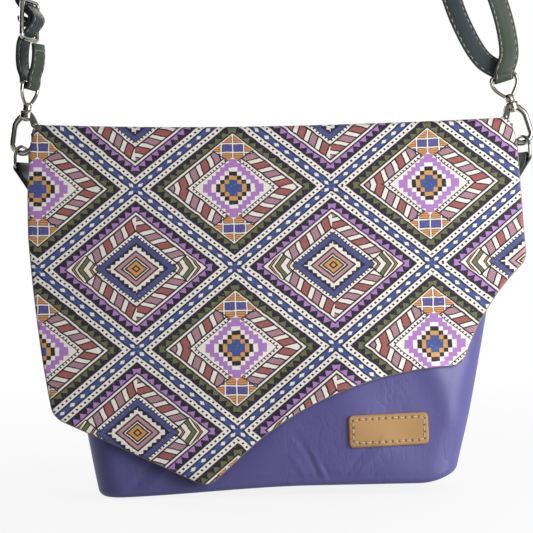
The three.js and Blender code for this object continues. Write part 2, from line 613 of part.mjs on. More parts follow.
// The strap's route: points with the compass angle and the tilt of its width. It starts at the end sewn
// round the left eye, runs through the slider and over the hanging point, round the right eye and back to
// the slider's bar.
function strapRoute() {
  const route = [];
  const at = (x, y, z, yaw, tilt = 0) => route.push({ place: new THREE.Vector3(x, y, z), yaw, tilt });
  const wrap = EYE_WIRE / 2 + STRAP_WRAP_PLAY + STRAP_THICKNESS / 2;
  const left = barPlace("left");
  const right = barPlace("right");
  const yaw = STRAP_YAW_DEG;
  const back = yaw + 180;
  const tilt = SLIDER_LEAN_DEG;
  const outX = Math.sin(rad(yaw));
  const outY = -Math.cos(rad(yaw));
  const byLeft = (n, up) => at(left.x + n * outX, left.y + n * outY, left.z + up, yaw, -tilt);
  const bySlider = (n, up, angle) => {
    const place = new THREE.Vector3(0, -n, up).applyMatrix4(sliderFrame);
    at(place.x, place.y, place.z, angle, angle === yaw ? -tilt : tilt);
  };
  const byRight = (x, y, up, angle = 180) =>
    at(right.x + x, right.y + y, right.z + up, angle, -HOOK_LEAN_DEG.right);
  byLeft(6.5, 24);
  byLeft(6.8, 18);
  byLeft(5.6, 10);
  byLeft(wrap + 0.5, 4);
  byLeft(wrap, 0);
  byLeft(wrap * 0.7, -wrap * 0.7);
  byLeft(0, -wrap);
  byLeft(-wrap * 0.7, -wrap * 0.7);
  byLeft(-wrap, 0);
  byLeft(-wrap - 0.5, 4);
  byLeft(-5.2, 10);
  byLeft(-5.6, 18);
  const behind = SLIDER_WIRE / 2 + STRAP_WEAVE_PLAY + STRAP_THICKNESS / 2;
  const over = behind + STRAP_THICKNESS + SEAT;
  const bar = SLIDER_HALF_HEIGHT;
  bySlider(-behind, -bar, yaw);
  bySlider(2.2, -bar / 2, yaw);
  bySlider(over + 0.3, 0, yaw);
  bySlider(2.6, bar / 2, yaw);
  bySlider(-behind, bar, yaw);
  bySlider(-behind - 0.6, bar + 10, yaw);
  at(-132, 12.4, 330, yaw + 4);
  at(-105, 11.6, 387, yaw + 9);
  at(-73, 11, 449, yaw + 15);
  at(-42, 10.4, 505, yaw + 21);
  at(-19, 10, 541, 87);
  at(-9, 10, 551, 89);
  at(0, 10, 554, 90);
  at(9, 10, 551, 92);
  at(20, 10, 541, 96);
  at(45, 10.6, 489, 112);
  at(68, 11.6, 431, 130);
  at(90, 13, 373, 150);
  at(108, 14.6, 319, 168);
  at(122, 15.6, 279, 178);
  at(135, 15.6, 256, 180);
  byRight(-0.6, wrap, 2.6);
  byRight(0, wrap * 0.95, -0.4);
  byRight(0.5, wrap * 0.6, -wrap * 0.8);
  byRight(0.6, 0, -wrap);
  byRight(0.6, -wrap * 0.6, -wrap * 0.8);
  byRight(0.6, -wrap * 0.95, -0.4);
  byRight(0.8, -wrap, 2.6);
  byRight(3.6, -wrap - 1, 12, 181);
  at(145.6, 8.2, 274, 184);
  at(139, 7.6, 297, 190);
  at(122, 8, 337, 203);
  at(98, 8.8, 389, 220);
  at(73, 9.6, 443, 238);
  at(48, 10, 501, 254);
  at(23, 10, 549, 266);
  at(10, 10, 560, 269);
  at(0, 10, 562.6, 270);
  at(-10, 10, 560, 269);
  at(-23, 10, 549, 266);
  at(-50, 10.8, 502, 262);
  at(-84, 11.8, 441, 257);
  at(-115, 12.8, 380, 252);
  at(-140, 13.8, 328, 246);
  bySlider(-behind - STRAP_THICKNESS - SEAT - 2, bar + 9, back);
  bySlider(-behind - STRAP_THICKNESS - SEAT - 0.2, bar, back);
  bySlider(-1.2, bar / 2, back);
  bySlider(behind - 0.3, bar / 6, back);
  bySlider(behind, -0.4, back);
  bySlider(behind * 0.6, -behind * 0.8, back);
  bySlider(-behind * 0.3, -behind * 0.95, back);
  bySlider(-behind, -0.4, back);
  bySlider(-behind - 0.7, bar / 6, back);
  return route;
}

// A flat strap swept along the route, its width held to the compass angle at each point
function strap() {
  const route = strapRoute();
  const curve = new THREE.CatmullRomCurve3(route.map(({ place }) => place), false, "centripetal");
  const steps = (route.length - 1) * STRAP_STEPS_PER_POINT;
  const rings = Array.from({ length: steps + 1 }, (_, i) => {
    const share = i / steps;
    const place = curve.getPoint(share);
    const along = curve.getTangent(share);
    const reached = share * (route.length - 1);
    const from = Math.min(Math.floor(reached), route.length - 2);
    const [yaw, tilt] = ["yaw", "tilt"].map((angle) =>
      rad(THREE.MathUtils.lerp(route[from][angle], route[from + 1][angle], reached - from)));
    const across = new THREE.Vector3(
      Math.cos(yaw) * Math.cos(tilt), Math.sin(yaw) * Math.cos(tilt), Math.sin(tilt));
    across.addScaledVector(along, -across.dot(along)).normalize();
    const up = along.clone().cross(across);
    const corner = (a, b) =>
      place
        .clone()
        .addScaledVector(across, (a * STRAP_WIDTH) / 2)
        .addScaledVector(up, (b * STRAP_THICKNESS) / 2);
    return [corner(-1, -1), corner(1, -1), corner(1, 1), corner(-1, 1)];
  });
  return loft(rings);
}

// Assembly
const bag = new THREE.Group();

function add(parent, name, geometry, material) {
  const mesh = new THREE.Mesh(geometry, material);
  mesh.name = name;
  parent.add(mesh);
  return mesh;
}

// A frame on the front panel at [x, height]: local Z points out of the panel, a stand-off away from it
function onFrontPanel([x, z], standOff, tilt = 0) {
  const frame = new THREE.Group();
  const out = new THREE.Vector3(0, -Math.cos(PANEL_SLOPE), Math.sin(PANEL_SLOPE));
  frame.position.set(x, -halfDepth(z), z).addScaledVector(out, standOff);
  frame.rotation.set(Math.PI / 2 - PANEL_SLOPE, 0, tilt);
  bag.add(frame);
  return frame;
}

add(bag, "front_panel", frontPanel(), bodyLeather);
add(bag, "back_panel", backPanel(), bodyLeather);
add(bag, "flap", common(flapSheet(), flapOutline()), printedLeather);
add(bag, "flap_back_strip", flapBackStrip(), printedLeather);
add(onFrontPanel(LABEL_PLACE, SEAT, rad(LABEL_TILT_DEG)), "label_patch", labelPatch(), labelLeather);
add(onFrontPanel(SNAP_PLACE, SEAT), "snap_socket", snapSocket(), nickel);
add(onFrontPanel(SNAP_PLACE, 2 * SEAT + SNAP_SOCKET_HEIGHT), "snap_stud", snapStud(), nickel);
add(onFrontPanel(SNAP_PLACE, -LEATHER - SEAT - SNAP_WASHER_HEIGHT), "snap_washer", snapWasher(), nickel);

for (const side of ["left", "right"]) {
  const half = new THREE.Group();
  if (side === "left") half.scale.x = -1;
  bag.add(half);
  add(half, `side_tab_${side}`, sideTab(), strapLeather);
  add(half, `d_ring_${side}`, dRing(), nickel).position.set(...RING_PLACE);
  const frame = hookFrame(side);
  half.add(frame);
  add(frame, `hook_${side}`, hookBody(), nickel);
  add(frame, `gate_${side}`, hookGate(), nickel);
  add(frame, `gate_pin_${side}`, gatePin(), nickel);
  add(frame, `gate_spring_${side}`, gateSpring(), nickel);
  const eye = eyeFrame(side);
  frame.add(eye);
  add(eye, `swivel_eye_${side}`, swivelEye(), nickel);
}

const sliderMesh = add(bag, "slider", slider(), nickel);
sliderMesh.applyMatrix4(sliderFrame);
add(bag, "strap", strap(), strapLeather);

export default bag;
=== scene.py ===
"""A leather flap shoulder bag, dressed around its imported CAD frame.

Shapes are worked out in millimetres and become metres when a skin turns into a mesh. +Z is up, and the front
of the bag faces -Y.
"""

import json
import logging
import math
from collections.abc import Callable, Sequence
from dataclasses import dataclass, field, replace
from enum import Enum
from functools import cached_property
from typing import Union

import bpy
import numpy as np
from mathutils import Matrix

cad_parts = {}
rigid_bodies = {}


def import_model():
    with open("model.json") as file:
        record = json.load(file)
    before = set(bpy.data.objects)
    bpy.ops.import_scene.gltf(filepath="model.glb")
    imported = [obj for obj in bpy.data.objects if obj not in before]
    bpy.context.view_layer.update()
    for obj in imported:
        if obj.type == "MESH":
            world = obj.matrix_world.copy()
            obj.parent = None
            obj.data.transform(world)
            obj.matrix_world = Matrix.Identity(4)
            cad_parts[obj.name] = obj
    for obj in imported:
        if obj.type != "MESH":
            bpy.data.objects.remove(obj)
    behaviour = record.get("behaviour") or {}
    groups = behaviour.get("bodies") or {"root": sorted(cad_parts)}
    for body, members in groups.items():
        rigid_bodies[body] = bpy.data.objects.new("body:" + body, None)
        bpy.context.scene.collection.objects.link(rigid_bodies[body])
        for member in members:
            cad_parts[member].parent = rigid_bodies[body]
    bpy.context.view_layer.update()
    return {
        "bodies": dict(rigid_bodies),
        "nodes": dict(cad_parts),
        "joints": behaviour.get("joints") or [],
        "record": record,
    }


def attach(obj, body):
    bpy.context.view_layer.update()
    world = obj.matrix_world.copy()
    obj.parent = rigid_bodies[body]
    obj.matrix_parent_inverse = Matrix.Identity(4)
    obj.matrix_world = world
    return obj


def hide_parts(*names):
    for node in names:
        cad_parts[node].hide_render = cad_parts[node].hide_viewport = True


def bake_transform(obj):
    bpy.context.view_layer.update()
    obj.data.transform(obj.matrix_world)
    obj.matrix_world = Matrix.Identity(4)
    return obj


Array = np.ndarray
Pair = tuple[float, float]
Triple = tuple[float, float, float]
Screen = tuple[int, int, int]
Placing = Callable[[Array], Array]
Piece = bpy.types.Object
Material = bpy.types.Material
Socket = bpy.types.NodeSocket
Number = Union[float, "Signal"]

MM = 0.001
UV_MAP = "Surface"
CURVE_STEPS = 24
FRONT_TO_BACK = np.array([0.0, 1.0, 0.0])
log = logging.getLogger("flap_bag")


class Side(Enum):
    """One side of the bag, as seen from the front."""

    LEFT = "left"
    RIGHT = "right"

    @property
    def sign(self) -> float:
        """The sign of X on this side."""
        return -1.0 if self is Side.LEFT else 1.0


class Body(str, Enum):
    """The CAD bodies that pieces ride on."""

    BAG = "bag"
    FLAP = "flap"


# Lines and profiles


def smooth(value: Array) -> Array:
    """A step from 0 to 1 with level ends: 3t^2 - 2t^3 of the value held between 0 and 1."""
    t = np.clip(value, 0.0, 1.0)
    return t * t * (3.0 - 2.0 * t)


def bell(value: Array) -> Array:
    """A bell of height 1 about zero: the exponential of minus the square."""
    return np.exp(-(value**2))


def dome(share: Array) -> Array:
    """A quarter round from 0 to 1: the root of 1 - (1 - t)^2, with t held between 0 and 1."""
    return np.sqrt(1.0 - (1.0 - np.clip(share, 0.0, 1.0)) ** 2)


def chain(*parts: Array) -> Array:
    """Arrays one after the other."""
    return np.concatenate(parts)


def points_of(*values: Array) -> Array:
    """Coordinates put together as points, each spread to the shape of them all."""
    return np.stack(np.broadcast_arrays(*values), axis=-1)


def unit(vectors: Array) -> Array:
    """Vectors divided by their lengths, along the last axis."""
    return vectors / np.linalg.norm(vectors, axis=-1, keepdims=True)


def square_to(vectors: Array, along: Array) -> Array:
    """Vectors without the share that lies along given unit directions, made unit length."""
    return unit(vectors - along * np.sum(vectors * along, axis=1, keepdims=True))


def lengths_along(path: Array) -> Array:
    """The distance from the first point to each point of a path."""
    steps = np.linalg.norm(np.diff(path, axis=0), axis=1)
    return chain([0.0], np.cumsum(steps))


def read_at(at: Array, line: Array, values: Array) -> Array:
    """Rows of values at given distances, read straight between the distances that the rows belong to."""
    return points_of(*(np.interp(at, line, column) for column in values.T))


def resampled(path: Array, count: int) -> Array:
    """A path of evenly spaced points along another one."""
    line = lengths_along(path)
    return read_at(np.linspace(0.0, line[-1], count), line, path)


def along_line(path: Array, at: Array) -> tuple[Array, Array]:
    """Places at given distances along a path, and unit directions taken over the path's own chords."""
    line = lengths_along(path)
    heading = unit(np.gradient(path, line, axis=0))
    return read_at(at, line, path), unit(read_at(at, line, heading))


def off(point: Pair, step: Pair) -> Pair:
    """A point moved by a step."""
    return point[0] + step[0], point[1] + step[1]


def arc(x: float, z: float, radius: float, start: float, stop: float, steps: int) -> Array:
    """Points of an arc of so many chords between two angles: centre plus radius times cosine and sine."""
    angle = np.radians(np.linspace(start, stop, steps + 1))
    return points_of(x + radius * np.cos(angle), z + radius * np.sin(angle))


def round_profile(radius: float, sides: int = 16) -> Array:
    """Points round a circle about the origin."""
    return arc(0.0, 0.0, radius, 0.0, 360.0, sides)[:-1]


def rounded_box(half_x: float, half_z: float, corner: float, steps: int) -> Array:
    """A rounded rectangle about the origin: four quarter circles, counter-clockwise from the upper right."""
    x, z = half_x - corner, half_z - corner
    corners = ((x, z, 0.0), (-x, z, 90.0), (-x, -z, 180.0), (x, -z, 270.0))
    return np.concatenate([arc(cx, cz, corner, start, start + 90.0, steps) for cx, cz, start in corners])


def bezier(*points: Pair, steps: int = CURVE_STEPS) -> Array:
    """A curve drawn by its control points.

    Args:
        points: The first point, the handles and the last point.
        steps: How many chords the curve has.

    Returns:
        The curve's points by repeated straight blends, without its first point.
    """
    share = np.linspace(0.0, 1.0, steps + 1)[1:, None]
    level = [np.broadcast_to(np.array(p, float), (steps, 2)) for p in points]
    while len(level) > 1:
        level = [a + (b - a) * share for a, b in zip(level, level[1:])]
    return level[0]


def smooth_path(points: Array, steps: int) -> Array:
    """A smooth curve through points.

    Args:
        points: Rows of a place and any further columns that go along with it.
        steps: How many pieces each span is cut into.

    Returns:
        Points of a cubic in each span, with slopes from spans weighted by the root of their length; further
        columns run straight between the points.
    """
    place = points[:, :3]
    ends = chain(2 * place[:1] - place[1:2], place, 2 * place[-1:] - place[-2:-1])
    span = np.sqrt(np.linalg.norm(np.diff(ends, axis=0), axis=1))[:, None]
    before, here, after = span[:-2], span[1:-1], span[2:]
    a, b, c, d = ends[:-3], ends[1:-2], ends[2:-1], ends[3:]
    leave = ((b - a) / before - (c - a) / (before + here) + (c - b) / here) * here
    arrive = ((c - b) / here - (d - b) / (here + after) + (d - c) / after) * here
    t = (np.arange(steps) / steps)[None, :, None]
    b, c, leave, arrive = b[:, None], c[:, None], leave[:, None], arrive[:, None]
    curve = (2 * t**3 - 3 * t**2 + 1) * b + (t**3 - 2 * t**2 + t) * leave + (3 * t**2 - 2 * t**3) * c
    curve = (curve + (t**3 - t**2) * arrive).reshape(-1, 3)
    rest = (points[:-1, None, 3:] + np.diff(points[:, 3:], axis=0)[:, None] * t).reshape(len(curve), -1)
    return chain(np.concatenate([curve, rest], axis=1), points[-1:])


# Skins


def map_of(first: Array, second: Array) -> Array:
    """UV pairs of a grid: the first list down its rows and the second along its columns."""
    return points_of(first[:, None], second)


@dataclass
class Skin:
    """Points in millimetres with quads and triangles, UV pairs at their corners and their finish numbers."""

    points: Array
    quads: Array
    quad_uv: Array
    quad_kind: Array
    tris: Array = field(default_factory=lambda: np.zeros((0, 3), int))
    tri_uv: Array = field(default_factory=lambda: np.zeros((0, 3, 2)))
    tri_kind: Array = field(default_factory=lambda: np.zeros(0, int))

    @classmethod
    def of_grid(cls, grid: Array, uv: Array, around: bool = False, endless: bool = False) -> "Skin":
        """Joins the points of a grid into quads.

        Args:
            grid: Points as rows, columns and three coordinates.
            uv: UV pairs for the same grid, with one more column or row where it closes on itself.
            around: Whether the last column joins the first.
            endless: Whether the last row joins the first.

        Returns:
            The open or closed skin.
        """
        rows, columns = grid.shape[:2]
        down = np.arange(rows if endless else rows - 1)
        row, column = np.meshgrid(down, np.arange(columns if around else columns - 1), indexing="ij")
        at_row = points_of(row, row, row + 1, row + 1).reshape(-1, 4)
        at_column = points_of(column, column + 1, column + 1, column).reshape(-1, 4)
        quads = (at_row % rows) * columns + at_column % columns
        return cls(grid.reshape(-1, 3), quads, uv[at_row, at_column], np.zeros(len(quads), int))

    @classmethod
    def tube(cls, grid: Array, uv: Array) -> "Skin":
        """Closes a grid around its columns and over its two open ends.

        Args:
            grid: Points as rows, columns and three coordinates.
            uv: UV pairs for the same grid, with one more column.

        Returns:
            The closed skin, with a fan of triangles about the mean point of each end.
        """
        rows, columns = grid.shape[:2]
        skin = cls.of_grid(grid, uv, around=True)
        here = np.arange(columns)
        after = (here + 1) % columns
        last = (rows - 1) * columns
        low, high = len(skin.points), len(skin.points) + 1
        first_fan = points_of(after, here, low)
        last_fan = points_of(last + here, last + after, high)
        skin.points = chain(skin.points, grid[0].mean(0)[None], grid[-1].mean(0)[None])
        skin.tris = chain(first_fan, last_fan)
        first, final = (np.broadcast_to(uv[end, :-1].mean(0), (columns, 2)) for end in (0, -1))
        first_uv = np.stack([uv[0, 1:], uv[0, :-1], first], axis=1)
        final_uv = np.stack([uv[-1, :-1], uv[-1, 1:], final], axis=1)
        skin.tri_uv = chain(first_uv, final_uv)
        skin.tri_kind = np.zeros(2 * columns, int)
        return skin.outward()

    @classmethod
    def joined(cls, skins: Sequence["Skin"]) -> "Skin":
        """One skin with the faces of several skins."""
        first = np.cumsum([0, *(len(s.points) for s in skins)])
        skins = [replace(s, quads=s.quads + n, tris=s.tris + n) for s, n in zip(skins, first)]
        return cls(*(np.concatenate(arrays) for arrays in zip(*(vars(s).values() for s in skins))))

    def copies(self, places: Array) -> "Skin":
        """One skin with this skin's faces over each of several sets of points, facing outwards."""
        return Skin.joined([replace(self, points=points) for points in places]).outward()

    def outward(self) -> "Skin":
        """Turns every face round if the volume that the faces enclose comes out below zero.

        Returns:
            The same skin.
        """
        corners = chain(self.quads[:, [0, 1, 2]], self.quads[:, [0, 2, 3]], self.tris)
        a, b, c = (self.points[corners[:, k]] for k in range(3))
        if np.einsum("ij,ij->", a, np.cross(b, c)) < 0.0:
            self.quads, self.quad_uv = self.quads[:, ::-1], self.quad_uv[:, ::-1]
            self.tris, self.tri_uv = self.tris[:, ::-1], self.tri_uv[:, ::-1]
        return self

    def moved(self, place: Placing) -> "Skin":
        """Puts every point through a placing function and faces the skin outwards again."""
        self.points = place(self.points)
        return self.outward()

    def piece(self, name: str, *finishes: Material, crease_deg: float = 50.0) -> Piece:
        """Makes the skin a mesh object at the origin.

        Args:
            name: The object's name.
            finishes: The materials, in the order of the finish numbers.
            crease_deg: Edges that turn by more than this stay sharp.

        Returns:
            The new object, linked to the scene.
        """
        mesh = bpy.data.meshes.new(name)
        mesh.from_pydata((self.points * MM).tolist(), [], self.quads.tolist() + self.tris.tolist())
        layer = mesh.uv_layers.new(name=UV_MAP)
        uv = chain(self.quad_uv.reshape(-1), self.tri_uv.reshape(-1))
        layer.data.foreach_set("uv", uv.astype(np.float32))
        for finish in finishes:
            mesh.materials.append(finish)
        kinds = chain(self.quad_kind, self.tri_kind).astype(np.int32)
        mesh.polygons.foreach_set("material_index", kinds)
        mesh.shade_smooth()
        mesh.set_sharp_from_angle(angle=math.radians(crease_deg))
        mesh.update()
        made = bpy.data.objects.new(name, mesh)
        bpy.context.scene.collection.objects.link(made)
        return made


def sweep(
    path: Array,
    across: Array,
    up: Array,
    profile: Array,
    endless: bool = False,
    profile_v: Array | None = None,
) -> Skin:
    """Carries a closed profile along a path: place + across * profile x + up * profile y.

    Args:
        path: The places, one row each.
        across: The profile's first direction at each place.
        up: Its second direction.
        profile: The profile's points, or one set for each place.
        endless: Whether the path closes on itself.
        profile_v: V of each profile point and of the first again, else the distance round it.

    Returns:
        A closed skin whose U is the distance along the path.
    """
    profiles = np.broadcast_to(profile, (len(path), *profile.shape[-2:]))
    grid = path[:, None] + profiles[..., :1] * across[:, None] + profiles[..., 1:] * up[:, None]
    along = lengths_along(path)
    if endless:
        along = np.append(along, along[-1] + np.linalg.norm(path[0] - path[-1]))
    if profile_v is None:
        profile_v = lengths_along(chain(profiles[0], profiles[0][:1]))
    uv = map_of(along, profile_v)
    if endless:
        return Skin.of_grid(grid, uv, around=True, endless=True).outward()
    return Skin.tube(grid, uv)


def wire(points: Array, radius: float | Array, endless: bool = False, sides: int = 16) -> Skin:
    """A round wire along points of the local XZ plane.

    Args:
        points: The wire's middle line as X and Z pairs.
        radius: Its radius, or one radius for each point.
        endless: Whether the wire closes on itself.
        sides: How many points go round it.

    Returns:
        The wire's skin, with its plane at Y = 0.
    """
    path = np.insert(points, 1, 0.0, axis=1)
    if endless:
        along = unit(np.roll(path, -1, axis=0) - np.roll(path, 1, axis=0))
    else:
        along = unit(np.gradient(path, axis=0))
    out = points_of(-along[:, 2], 0.0, along[:, 0])
    side = np.broadcast_to(FRONT_TO_BACK, path.shape)
    ring = round_profile(1.0, sides) * np.broadcast_to(radius, len(points))[:, None, None]
    return sweep(path, out, side, ring, endless)


def turned(profile: Sequence[Pair], sides: int = 36) -> Skin:
    """A turned piece about the local Z axis.

    Args:
        profile: Radius and height pairs from one end to the other, where each end gets a flat cap.
        sides: How many points go round it.

    Returns:
        The closed skin: radius times cosine and sine of the turn, at each height.
    """
    radius, height = np.array(profile, float).T[..., None]
    turn = np.linspace(0.0, 2.0 * math.pi, sides, endpoint=False)
    grid = points_of(radius * np.cos(turn), radius * np.sin(turn), height)
    line = lengths_along(np.array(profile, float))
    return Skin.tube(grid, map_of(line, np.linspace(0.0, 1.0, sides + 1)))


def with_ends(steps: Sequence[Pair], radius: float, low: float, high: float) -> list[Pair]:
    """A profile for turning whose two ends are alike, by steps in from the full radius and from the end."""
    lower = [(radius - inset, low + rise) for inset, rise in steps]
    return lower + [(radius - inset, high - rise) for inset, rise in reversed(steps)]


def plate(outline: Array, low: float, high: float, bevel: float) -> Skin:
    """A flat plate in the local XZ plane with bevelled edges.

    Args:
        outline: X and Z pairs, which a point at their mean can see whole.
        low: The Y of its front.
        high: The Y of its back.
        bevel: How far its edges are broken.

    Returns:
        A closed skin of four rings, the outer two drawn in towards the mean point by the bevel.
    """
    drawn_in = outline + unit(outline.mean(0) - outline) * bevel
    rings = (drawn_in, outline, outline, drawn_in)
    depths = np.array([low, low + bevel, high - bevel, high])
    grid = np.stack([np.insert(ring, 1, y, axis=1) for ring, y in zip(rings, depths)])
    return Skin.tube(grid, map_of(depths, np.linspace(0.0, 1.0, len(outline) + 1)))


def double_layer(outer: Array, inner: Array, uv: Array, bulge: float, kinds: tuple[int, int, int]) -> Skin:
    """A sheet with two faces and a rounded cut edge.

    Args:
        outer: The grid of the outer face.
        inner: The grid of the inner face, point for point under the outer one.
        uv: The flat coordinates of both.
        bulge: How far the edge stands out beyond the faces' borders.
        kinds: The finish numbers of the outer face, the inner face and the edge.

    Returns:
        The closed skin, with two more rings between the faces' borders, moved outwards by the bulge.
    """
    rows, columns = outer.shape[:2]
    count = rows * columns
    number = np.arange(count).reshape(rows, columns)
    border = chain(number[0, :-1], number[:-1, -1], number[-1, :0:-1], number[:0:-1, 0])
    rim = len(border)
    top, bottom = outer.reshape(-1, 3)[border], inner.reshape(-1, 3)[border]
    flat = uv.reshape(-1, 2)[border]
    middle, half = (top + bottom) / 2.0, (top - bottom) / 2.0
    heading = unit(np.roll(middle, -1, axis=0) - np.roll(middle, 1, axis=0))
    away = unit(np.cross(half, heading))
    inside = outer.reshape(-1, 3).mean(0) - middle
    away *= -np.sign(np.sum(away * inside, axis=1).mean())
    rings = [middle + half * share + away * bulge for share in (0.45, -0.45)]
    faces = Skin.of_grid(outer, uv)
    ring, after = np.arange(rim), (np.arange(rim) + 1) % rim
    tracks = [border, 2 * count + ring, 2 * count + rim + ring, count + border]
    edges = [points_of(b, b[after], a[after], a) for a, b in zip(tracks, tracks[1:])]
    edge_uv = np.stack([flat, flat[after], flat[after], flat], axis=1)
    return Skin(
        chain(outer.reshape(-1, 3), inner.reshape(-1, 3), *rings),
        chain(faces.quads, faces.quads[:, ::-1] + count, *edges),
        chain(faces.quad_uv, faces.quad_uv[:, ::-1], edge_uv, edge_uv, edge_uv),
        np.repeat(kinds, [len(faces.quads), len(faces.quads), 3 * rim]),
    ).outward()


@dataclass(frozen=True)
class Stitch:
    """One kind of stitch: a short bowed strand of thread that dips into the leather at both ends."""

    length: float
    width: float
    rise: float
    rings: int = 7
    sides: int = 6
    least_area: float = 0.04

    def row(self, middle: Array, along: Array, out: Array) -> Skin:
        """Lays stitches on leather.

        Args:
            middle: The middle of each stitch on the leather.
            along: The direction of each stitch.
            out: The direction out of the leather at each stitch.

        Returns:
            One skin: rings at shares t of the half length from -1 to 1, each scaled by the root of 1 - t^4
            and lifted by the rise times 1 - 2t^2.
        """
        share = np.linspace(-1.0, 1.0, self.rings)
        line = share * self.length / 2.0
        thick = np.sqrt(np.maximum(1.0 - share**4, self.least_area))[:, None] * self.width / 2.0
        lift = self.rise * (1.0 - 2.0 * share**2)
        ring_x, ring_y = round_profile(1.0, self.sides).T
        strand = points_of(line[:, None], thick * ring_x, thick * ring_y + lift[:, None])
        one = Skin.tube(strand, map_of(line, np.linspace(0.0, self.width * math.pi, self.sides + 1)))
        side = unit(np.cross(out, along))
        frame = np.stack([along, side, np.cross(along, side)], axis=1)
        return one.copies(middle[:, None] + np.einsum("pk,nkc->npc", one.points, frame))


def stitch_marks(length: float, pitch: float, margin: float) -> Array:
    """The middles of evenly pitched stitches on a line, with a margin at both ends."""
    count = max(int((length - 2.0 * margin) / pitch), 1)
    return np.linspace(margin + pitch / 2.0, length - margin - pitch / 2.0, count)


# Finishes


def from_screen(colour: Screen) -> Triple:
    """A colour given as screen values from 0 to 255, as linear light by the standard curve of screens."""
    share = np.array(colour) / 255.0
    return tuple(np.where(share <= 0.04045, share / 12.92, ((share + 0.055) / 1.055) ** 2.4).tolist())


def arithmetic(operation: str, swapped: bool = False) -> Callable[..., "Signal"]:
    """Makes an arithmetic method for signals.

    Args:
        operation: What the arithmetic node does.
        swapped: Whether the other number comes first.

    Returns:
        A method that puts its signal, and any other number, into such a node.
    """

    def method(signal: "Signal", *others: Number) -> "Signal":
        """The node's result."""
        values = (signal, *others)
        return signal.graph.math(operation, *(values[::-1] if swapped else values))

    return method


@dataclass
class Signal:
    """A number or colour at every point of a surface, as a socket of a graph; comparisons give 1 or 0."""

    graph: "Graph"
    socket: Socket

    __add__ = __radd__ = arithmetic("ADD")
    __sub__ = arithmetic("SUBTRACT")
    __rsub__ = arithmetic("SUBTRACT", swapped=True)
    __mul__ = __rmul__ = arithmetic("MULTIPLY")
    __abs__ = arithmetic("ABSOLUTE")
    __lt__ = arithmetic("LESS_THAN")
    __gt__ = arithmetic("GREATER_THAN")
    floor = arithmetic("FLOOR")
    part = arithmetic("FRACT")
    lower = arithmetic("MINIMUM")
    higher = arithmetic("MAXIMUM")

    def wave(self) -> "Signal":
        """A triangle wave from 0 to 1 and back, with period 1."""
        return self.graph.math("PINGPONG", self, 0.5) * 2.0

    def between(self, low: float, high: float) -> "Signal":
        """1 where it lies between two numbers, else 0."""
        return (self > low) * (self < high)

    def held(self) -> "Signal":
        """The signal held between 0 and 1."""
        return self.higher(0.0).lower(1.0)


class Graph:
    """A tree of shader nodes in the making, with arithmetic on its sockets."""

    def __init__(self, tree: bpy.types.NodeTree) -> None:
        """Empties a tree.

        Args:
            tree: The node tree of a material or of the world.
        """
        tree.nodes.clear()
        self.nodes, self.links = tree.nodes, tree.links

    def put(self, socket: Socket, value: object) -> None:
        """Links a signal to a socket, or sets a plain value on it.

        Args:
            socket: The input socket.
            value: A signal, a number, or three numbers.
        """
        if isinstance(value, Signal):
            self.links.new(value.socket, socket)
        elif isinstance(value, tuple) and socket.type == "RGBA":
            socket.default_value = (*value, 1.0)
        else:
            socket.default_value = value

    def add(self, kind: str, *values: object, out: int | str = 0, **settings: object) -> Signal:
        """Adds one node.

        Args:
            kind: The node's kind, without the start that all kinds share.
            values: What goes into its first sockets.
            out: The output that is wanted.
            settings: Values by name, with underscores for spaces, of sockets and of the node's own settings.

        Returns:
            The wanted output.
        """
        node = self.nodes.new(f"ShaderNode{kind}")
        for name, value in settings.items():
            socket = node.inputs.get(name.replace("_", " "))
            if socket is None:
                setattr(node, name, value)
            else:
                self.put(socket, value)
        for socket, value in zip(node.inputs, values):
            self.put(socket, value)
        return Signal(self, node.outputs[out])

    def math(self, operation: str, *values: Number) -> Signal:
        """One arithmetic node."""
        return self.add("Math", *values, operation=operation)

    def mix(self, share: Number, first: object, second: object) -> Signal:
        """Mixes two colours.

        Args:
            share: How much of the second there is.
            first: The first colour.
            second: The second colour.

        Returns:
            The mixed colour.
        """
        mixed = self.add("Mix", share, out=2, data_type="RGBA")
        for index, colour in ((6, first), (7, second)):
            self.put(mixed.socket.node.inputs[index], colour)
        return mixed

    def tone(self, share: Number, shade: Screen, colour: Screen) -> Signal:
        """A mix of a darker and a lighter screen colour by a share."""
        return self.mix(share, from_screen(shade), from_screen(colour))

    def place(self, scale: Triple = (1000.0, 1000.0, 1000.0)) -> Signal:
        """The point in the object's own frame, in millimetres unless another scale is given."""
        source = self.add("TexCoord", out="Object")
        return self.add("VectorMath", source, scale, operation="MULTIPLY")

    def apart(self, vector: Signal) -> tuple[Signal, Signal, Signal]:
        """The three numbers of a vector."""
        first = self.add("SeparateXYZ", vector)
        return tuple(Signal(self, socket) for socket in first.socket.node.outputs)

    def surface(self) -> tuple[Signal, Signal]:
        """The U and V of the piece's own map."""
        return self.apart(self.add("UVMap", uv_map=UV_MAP))[:2]

    def vector(self, x: Number, y: Number) -> Signal:
        """A flat vector from two numbers."""
        return self.add("CombineXYZ", x, y)

    def attribute(self, name: str) -> Signal:
        """A number kept at each point of the mesh."""
        return self.add("Attribute", out="Fac", attribute_name=name)

    def noise(self, point: Signal, size: float, detail: float = 3.0) -> Signal:
        """Smooth noise from 0 to 1, with lumps of a size in the point's own units."""
        return self.add("TexNoise", point, Scale=1.0 / size, Detail=detail)

    def cells(self, point: Signal, size: float) -> Signal:
        """The distance to the nearest of scattered points, as the pebbles of a grain."""
        return self.add("TexVoronoi", point, out="Distance", Scale=1.0 / size)

    def ramp(self, value: Signal, turn: Pair, ends: Pair = (0.0, 1.0)) -> Signal:
        """A step with level ends from one number to another, while a value goes through its turn."""
        return self.add("MapRange", value, *turn, *ends, interpolation_type="SMOOTHSTEP")


